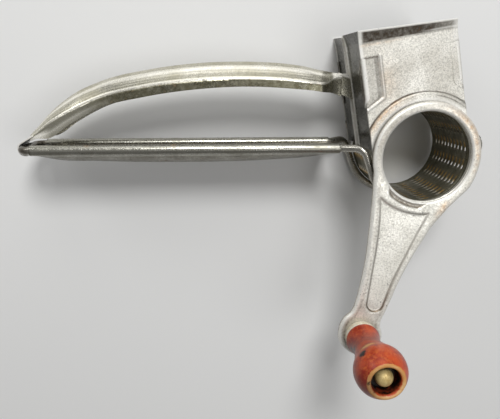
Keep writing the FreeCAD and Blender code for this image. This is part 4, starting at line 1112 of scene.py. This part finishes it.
class Look:
    """A procedural material on a piece's own coordinates."""

    def __init__(self, name, seed=0.0):
        self.material = bpy.data.materials.new(name)
        self.material.use_nodes = True
        self.tree = self.material.node_tree
        self.shader = self.tree.nodes["Principled BSDF"]
        self.place = self.node("ShaderNodeTexCoord", {}).outputs["Object"]
        self.seed = seed

    def put(self, source, target):
        """Set an input to a number or colour, or link it to an output."""
        if hasattr(source, "is_output"):
            self.tree.links.new(source, target)
        elif hasattr(source, "__len__") and len(source) == 3 and len(target.default_value) == 4:
            target.default_value = (*source, 1)
        else:
            target.default_value = source

    def node(self, kind, inputs):
        """A new node with its inputs set or linked."""
        made = self.tree.nodes.new(kind)
        for socket, source in inputs.items():
            self.put(source, made.inputs[socket])
        return made

    def noise(self, size, detail, rough, stretch=(1, 1, 1), turn=0.0, shift=0.0):
        """Noise with features of a size in millimetres, longer where stretch is below 1."""
        place = self.node("ShaderNodeMapping", {
            "Vector": self.place, "Scale": stretch, "Rotation": (0, 0, turn),
            "Location": (self.seed + shift, 2 * self.seed - shift, 0.37 * shift),
        })
        return self.node("ShaderNodeTexNoise", {
            "Vector": place.outputs["Vector"], "Scale": 1 / (size * MM), "Detail": detail,
            "Roughness": rough,
        }).outputs[0]

    def mark(self, name):
        """A mark of the mesh, 0 to 1."""
        node = self.node("ShaderNodeAttribute", {})
        node.attribute_name = name
        return node.outputs["Fac"]

    def math(self, kind, first, second):
        """Two values put together by a kind of sum."""
        node = self.node("ShaderNodeMath", {0: first, 1: second})
        node.operation = kind
        return node.outputs[0]

    def step(self, value, low, high, bottom=0.0, top=1.0):
        """A smooth rise of value from low to high, as bottom to top."""
        node = self.node("ShaderNodeMapRange", dict(enumerate((value, low, high, bottom, top))))
        node.interpolation_type = "SMOOTHSTEP"
        return node.outputs[0]

    def blend(self, share, first, second):
        """Two colours mixed by a share."""
        node = self.node("ShaderNodeMix", {0: share, 6: first, 7: second})
        node.data_type = "RGBA"
        return node.outputs[2]

    def add(self, *values):
        """Values added up."""
        total = values[0]
        for value in values[1:]:
            total = self.math("ADD", total, value)
        return total

    def scale(self, value, by):
        """A value multiplied by another."""
        return self.math("MULTIPLY", value, by)

    def patches(self, size, detail, rough, low, high, bottom=0.0, top=1.0, **options):
        """Noise sharpened into patches, from bottom between them to top inside them."""
        return self.step(self.noise(size, detail, rough, **options), low, high, bottom, top)

    def cover(self, colour, share, by, tint):
        """A colour covered with a tint where share is high, and there as far as by says."""
        return self.blend(self.scale(share, by), colour, tint)

    def bump(self, height, strength, distance):
        """A fine relief; distance is in millimetres."""
        node = self.node("ShaderNodeBump", {"Strength": strength, "Distance": distance * MM, "Height": height})
        self.put(node.outputs["Normal"], self.shader.inputs["Normal"])

    def finish(self, colour, rough, metallic):
        """Give the shader its colour, roughness and metal, and return the material."""
        for source, socket in ((colour, "Base Color"), (rough, "Roughness"), (metallic, "Metallic")):
            self.put(source, self.shader.inputs[socket])
        return self.material


RUST = ((0.27, 0.155, 0.085), (0.12, 0.075, 0.05))
COPPER = ((0.66, 0.42, 0.21), (0.42, 0.24, 0.11))
PIT = (0.05, 0.045, 0.04)
# the default colour for soiling and painted shade
GRIME_AND_SHADE = (0.075, 0.062, 0.045)


def tin(name, clean, dull, bright=None, stain=GRIME_AND_SHADE, *, gloss, seed, grain=(1.0, 1.0, 0.06), turn=0.0,
        rust=0.5, pits=0.5, cloudy=0.6, metal=0.8, speckle=0.35, fleck=0.8, nicks=0.4, relief_share=0.4):
    """Worn tinplate: cloudy dulling, fine scratches along the sheet, dark pits and brown at rubbed folds; the
    bright mark lays rubbing and painted highlights, the dark mark soiling and painted shade.
    """
    look = Look(name, seed)
    cloud = look.patches(11.0, 4, 0.55, 0.34, 0.68)
    mottle = look.patches(fleck, 4, 0.65, 0.38, 0.66, shift=3.0)
    scratch = look.patches(0.4, 3, 0.6, 0.50, 0.70, stretch=grain, turn=turn, shift=5.0)
    spark = look.patches(0.7 * fleck, 3, 0.6, 0.60, 0.68, shift=17.0)
    pit = look.patches(0.75, 2, 0.5, 0.66, 0.74, shift=7.0)
    pit = look.scale(pit, look.patches(9.0, 2, 0.5, 0.40, 0.62, 0.2, 1.0, shift=9.0))
    worn_and_lit = look.mark("wear")
    grimy_and_shaded = look.mark("grime")
    patch = look.noise(2.6, 5, 0.7, shift=11.0)
    brown = look.step(look.add(patch, look.scale(grimy_and_shaded, 0.10)), 0.70 - 0.06 * rust, 0.82 - 0.06 * rust)
    brown = look.math("MAXIMUM", brown, look.patches(2.2, 3, 0.6, 0.72, 0.77, 0.0, rust, shift=13.0))
    coppery = look.scale(look.mark("copper"), look.step(patch, 0.35, 0.6, 0.45, 1.0))
    bright = bright or tuple(min(1.0, 0.36 + 0.62 * v) for v in clean)
    colour = look.cover(clean, cloud, cloudy, dull)
    colour = look.cover(colour, mottle, speckle, tuple(0.45 * v for v in dull))
    colour = look.cover(colour, look.math("MAXIMUM", scratch, spark), nicks, bright)
    # the stain colour goes where the dark mark is, as soiling and as painted shade; the bright colour where
    # the bright mark is, as rubbing and as painted highlights
    colour = look.cover(colour, grimy_and_shaded, look.step(patch, 0.3, 0.62, 0.75, 1.0), stain)
    colour = look.cover(colour, worn_and_lit, 0.8, bright)
    colour = look.cover(colour, brown, 0.65, look.blend(mottle, *RUST))
    colour = look.cover(colour, coppery, 0.85, look.blend(mottle, *COPPER))
    colour = look.cover(colour, pit, pits, PIT)
    rough = look.add(look.scale(cloud, 0.14), look.scale(mottle, 0.16), look.scale(brown, 0.3), gloss - 0.10)
    rough = look.math("SUBTRACT", rough, look.scale(worn_and_lit, 0.06))
    metallic = look.math("SUBTRACT", metal, look.scale(look.math("MAXIMUM", brown, worn_and_lit), 0.8 * metal))
    relief = look.add(look.scale(mottle, -0.5), look.scale(scratch, 0.4), look.scale(pit, -1.0))
    look.bump(look.add(relief, look.scale(cloud, 0.3)), relief_share, 0.06)
    return look.finish(colour, rough, metallic)


def drum_look():
    """Tinplate that has gone golden brown in the scoops, with painted highlights on their cutting edges."""
    look = Look("tin_drum", 4.0)
    cloud = look.patches(5.0, 4, 0.6, 0.35, 0.68)
    mottle = look.patches(0.7, 3, 0.6, 0.4, 0.65, shift=3.0)
    gold = look.blend(mottle, (0.72, 0.46, 0.15), (0.48, 0.28, 0.08))
    colour = look.blend(cloud, (0.22, 0.21, 0.15), (0.12, 0.115, 0.08))
    colour = look.cover(colour, mottle, 0.35, (0.34, 0.32, 0.24))
    golden = look.patches(3.0, 3, 0.6, 0.3, 0.6, 0.55, 1.0, shift=5.0)
    colour = look.cover(colour, look.mark("grime"), golden, gold)
    colour = look.blend(look.mark("wear"), colour, (0.85, 0.80, 0.68))
    rough = look.add(look.scale(cloud, 0.15), look.scale(mottle, 0.12), 0.26)
    look.bump(look.add(cloud, mottle), 0.3, 0.05)
    return look.finish(colour, rough, 0.7)


def paint():
    """Worn red-orange paint over turned wood: darker on one side with painted shade, thin at the turned edges
    and the rim.
    """
    look = Look("knob_paint", 2.0)
    cloud = look.noise(8.0, 5, 0.65)
    fine = look.noise(1.6, 4, 0.7, shift=3.0)
    rings = look.noise(1.2, 3, 0.6, stretch=(0.08, 0.08, 1.0), shift=4.0)
    worn_and_lit = look.mark("wear")
    grime = look.mark("grime")
    red = look.blend(look.step(cloud, 0.38, 0.60), (0.50, 0.068, 0.016), (0.27, 0.020, 0.008))
    red = look.blend(look.step(fine, 0.46, 0.70, 0.0, 0.6), red, (0.60, 0.145, 0.035))
    bare = look.add(look.scale(worn_and_lit, 0.42), look.scale(fine, 0.40), look.scale(cloud, 0.30))
    bare = look.step(look.add(bare, look.scale(rings, 0.22)), 0.62, 0.84)
    wood = look.blend(look.step(rings, 0.4, 0.6), (0.70, 0.46, 0.20), (0.56, 0.27, 0.07))
    colour = look.cover(red, bare, 0.85, wood)
    # the dark mark darkens the paint: a dark spot, and painted shade on one side, at the waist and in the
    # recess
    colour = look.cover(colour, grime, look.step(fine, 0.3, 0.6, 0.7, 1.0), (0.060, 0.010, 0.005))
    dark = look.step(look.add(look.noise(3.4, 4, 0.6, shift=8.0), look.scale(grime, 0.4)), 0.76, 0.92)
    colour = look.blend(dark, colour, (0.006, 0.003, 0.002))
    rough = look.add(look.scale(bare, 0.25), look.scale(fine, 0.2), 0.24)
    look.bump(look.add(look.scale(bare, -0.8), look.scale(fine, 0.4), look.scale(rings, 0.4)), 0.5, 0.12)
    for socket, value in (("Specular IOR Level", 0.35), ("Coat Weight", 0.08), ("Coat Roughness", 0.2)):
        look.shader.inputs[socket].default_value = value
    return look.finish(colour, rough, 0.0)


def brass(name, bright, dull, seed):
    """Dull pale brass with small pits and brown stains."""
    look = Look(name, seed)
    cloud = look.patches(2.4, 5, 0.65, 0.35, 0.68)
    pit = look.patches(0.45, 3, 0.6, 0.60, 0.72, shift=3.0)
    grime = look.math("MAXIMUM", look.mark("grime"), look.scale(pit, 0.8))
    colour = look.cover(look.blend(cloud, bright, dull), grime, 0.8, (0.16, 0.10, 0.05))
    rough = look.add(look.scale(cloud, 0.15), look.scale(pit, 0.2), 0.46)
    look.bump(look.add(cloud, look.scale(pit, -1.0)), 0.5, 0.1)
    return look.finish(colour, rough, 0.4)


ALONG = (0.05, 1.0, 1.0)
# the bright colour of the side and hinge tin, for painted highlights along hems and edges, and for rubbed
# edges
EDGE = (0.94, 0.92, 0.86)
TIN_FRONT = tin("tin_front", (0.84, 0.82, 0.75), (0.56, 0.53, 0.46), stain=(0.055, 0.042, 0.028), gloss=0.38,
                pits=0.7, metal=0.65, speckle=0.55, fleck=0.55, relief_share=0.7, seed=0.3)
# the side tin is the same tinplate painted far darker: painted shade for walls that face away from the light
# and for pieces inside the hopper
TIN_SIDE_SHADED = tin("tin_side_shaded", (0.125, 0.122, 0.098), (0.060, 0.058, 0.045), EDGE, (0.030, 0.028, 0.021),
               gloss=0.22, rust=0.3, metal=0.9, nicks=0.06, seed=0.7)
TIN_HINGE = tin("tin_hinge", (0.42, 0.40, 0.33), (0.24, 0.22, 0.16), EDGE, (0.022, 0.018, 0.012),
                gloss=0.28, rust=0.4, nicks=0.1, seed=1.1)
TIN_HANDLE = tin("tin_handle", (0.86, 0.83, 0.71), (0.56, 0.52, 0.37), (0.95, 0.93, 0.86),
                 (0.120, 0.112, 0.066), gloss=0.27, grain=ALONG, rust=0.3, pits=0.9, relief_share=0.2,
                 seed=1.3)
TIN_GRIP = tin("tin_grip", (0.46, 0.45, 0.39), (0.26, 0.25, 0.20), gloss=0.28, grain=ALONG, rust=0.8,
               pits=0.7, metal=0.85, seed=1.9)
STEEL_WIRE = tin("steel_wire", (0.52, 0.50, 0.44), (0.30, 0.28, 0.23), gloss=0.26, grain=ALONG, rust=0.4,
                 pits=0.4, metal=0.9, seed=2.3)
TIN_CRANK = tin("tin_crank", (0.92, 0.90, 0.82), (0.74, 0.72, 0.64), stain=(0.15, 0.11, 0.07), gloss=0.40,
                grain=(1.0, 0.06, 1.0), turn=-0.3, rust=0.4, pits=0.8, cloudy=0.5, metal=0.65, speckle=0.4,
                relief_share=0.6, seed=2.9)
TIN_DRUM = drum_look()
PAINT = paint()
BRASS = brass("pin_brass", (0.68, 0.53, 0.24), (0.44, 0.31, 0.11), 3.1)
PALE_BRASS = brass("washer_brass", (0.84, 0.80, 0.68), (0.70, 0.62, 0.45), 3.7)
# the pin's washer is painted nearly black: a painted shadow round the pin's head
WASHER_SHADOW_DARK = brass("pin_washer_shadow_dark", (0.05, 0.035, 0.02), (0.025, 0.015, 0.01), 4.3)


# ---------------------------------------------------------------- pieces

for side, label in ((1, "front"), (-1, "back")):
    piece("hopper_%s_wall_sheet" % label, "frame", ["hopper_%s_wall" % label], TIN_FRONT,
          end_wall(side), sheet=TIN, bevel=0.12, frame_of="hopper")
    node = "hopper_left_%s_panel" % label
    piece(node + "_sheet", "frame", [node], TIN_SIDE_SHADED, left_panel(side), sheet=PANEL_SHEET,
          bevel=0.1, frame_of="hopper")
    for wall, way, width, sheet, bevel in LAPS:
        piece("hopper_%s_%s_lap" % (wall, label), "frame", [], TIN_FRONT,
              lap(way, side, width, sheet), sheet=sheet, bevel=bevel, frame_of="hopper")
piece("hopper_right_wall_sheet", "frame", ["hopper_right_wall"], TIN_SIDE_SHADED, right_wall(),
      sheet=TIN, bevel=0.1, frame_of="hopper")
piece("wire_frame_rod", "frame", ["wire_frame"], STEEL_WIRE, wire_frame())
piece("lower_grip_sheet", "frame", ["lower_grip"], TIN_GRIP, lower_grip(), sheet=GRIP_SHEET,
      bevel=0.12)
piece("upper_handle_channel", "presser", ["upper_handle"], TIN_HANDLE, upper_handle(),
      sheet=HANDLE_SHEET, bevel=0.12)
piece("upper_handle_tongue", "presser", [], TIN_HINGE, handle_tongue(), sheet=HANDLE_SHEET,
      bevel=0.12)
piece("upper_handle_blade", "presser", [], TIN_HANDLE, blade(), sheet=BLADE_SHEET, bevel=0.3)
piece("pusher_plate_sheet", "presser", ["pusher_plate"], TIN_SIDE_SHADED, pusher_plate(),
      sheet=PUSHER_SHEET, bevel=0.12, frame_of="hopper")
piece("drum_sheet", "crank", ["drum"], TIN_DRUM, drum(), sheet=0.45, angle=50)
piece("crank_arm_plate", "crank", ["crank_arm"], TIN_CRANK, crank_arm(), sheet=CRANK_SHEET,
      bevel=0.1)
piece("knob_turned", "hand_knob", ["knob"], PAINT, knob())
piece("knob_pin_head", "crank", ["knob_pin"], BRASS, knob_pin())
piece("knob_spacer", "crank", ["knob_washer"], PALE_BRASS, ring_washer("knob_washer", 7.05))
piece("pin_washer_ring", "crank", ["pin_washer"], WASHER_SHADOW_DARK, ring_washer("pin_washer", 4.6))
# the pieces that hardly show are the solids themselves, in the side tin darkened with painted shade
for node in ("pusher_bracket", "bracket_rivets", "pusher_rivets"):
    mesh = frame["nodes"][node].data
    mesh.materials.clear()
    mesh.materials.append(TIN_SIDE_SHADED)


# ---------------------------------------------------------------- floor, light and camera

def floor():
    """A plain pale floor, 6 m wide."""
    size = 3.0
    corners = [(-size, -size, 0), (size, -size, 0), (size, size, 0), (-size, size, 0)]
    mesh = bpy.data.meshes.new("floor")
    mesh.from_pydata(corners, [], [(0, 1, 2, 3)])
    obj = bpy.data.objects.new("floor", mesh)
    bpy.context.scene.collection.objects.link(obj)
    look = Look("floor_matt")
    look.bump(look.noise(3.0, 3, 0.5), 0.05, 0.2)
    mesh.materials.append(look.finish((0.76, 0.76, 0.75), 0.85, 0.0))


def area_light(name, place, target, size, power):
    """A round soft light at a place, turned to a target; metres and watts."""
    light = bpy.data.lights.new(name, "AREA")
    light.shape = "DISK"
    light.size = size
    light.energy = power
    obj = bpy.data.objects.new(name, light)
    obj.location = place
    obj.rotation_euler = (Vector(target) - Vector(place)).to_track_quat("-Z", "Y").to_euler()
    bpy.context.scene.collection.objects.link(obj)


# the photograph's camera, from its vanishing points: place from the drum's axis, directions and lens
CAMERA_PLACE = (-88.0, 33.2, 255.9)
CAMERA_LOOK = (0.063, -0.250, -0.966)
CAMERA_UP = (0.016, 0.968, -0.250)
CAMERA_LENS = 37.44


def camera():
    """The camera of the photograph, almost straight above."""
    data = bpy.data.cameras.new("camera")
    data.sensor_fit = "HORIZONTAL"
    data.sensor_width = 36.0
    data.lens = CAMERA_LENS
    obj = bpy.data.objects.new("camera", data)
    place = Vector((AXIS[0] + CAMERA_PLACE[0], AXIS[1] + CAMERA_PLACE[1], CAMERA_PLACE[2])) * MM
    back = -Vector(CAMERA_LOOK).normalized()
    right = Vector(CAMERA_UP).cross(back).normalized()
    turn = Matrix((right, back.cross(right), back)).transposed()
    obj.location = place
    obj.rotation_euler = turn.to_euler()
    bpy.context.scene.collection.objects.link(obj)
    bpy.context.scene.camera = obj


floor()
area_light("key", (0.08, 0.56, 0.76), (0.02, 0.0, 0.03), 0.30, 5.2)
area_light("front_glow", (0.36, -0.10, 0.86), (0.06, 0.0, 0.04), 0.50, 1.5)
area_light("top_glow", (-0.02, 0.85, 0.36), (-0.02, 0.0, 0.02), 0.60, 1.2)
area_light("left_glow", (-0.58, 0.58, 0.36), (-0.04, 0.0, 0.02), 0.40, 1.1)
camera()
world = bpy.data.worlds.new("studio")
world.use_nodes = True
world.node_tree.nodes["Background"].inputs["Color"].default_value = (0.8, 0.8, 0.8, 1)
world.node_tree.nodes["Background"].inputs["Strength"].default_value = 0.24
bpy.context.scene.world = world
bpy.context.scene.view_settings.view_transform = "Standard"
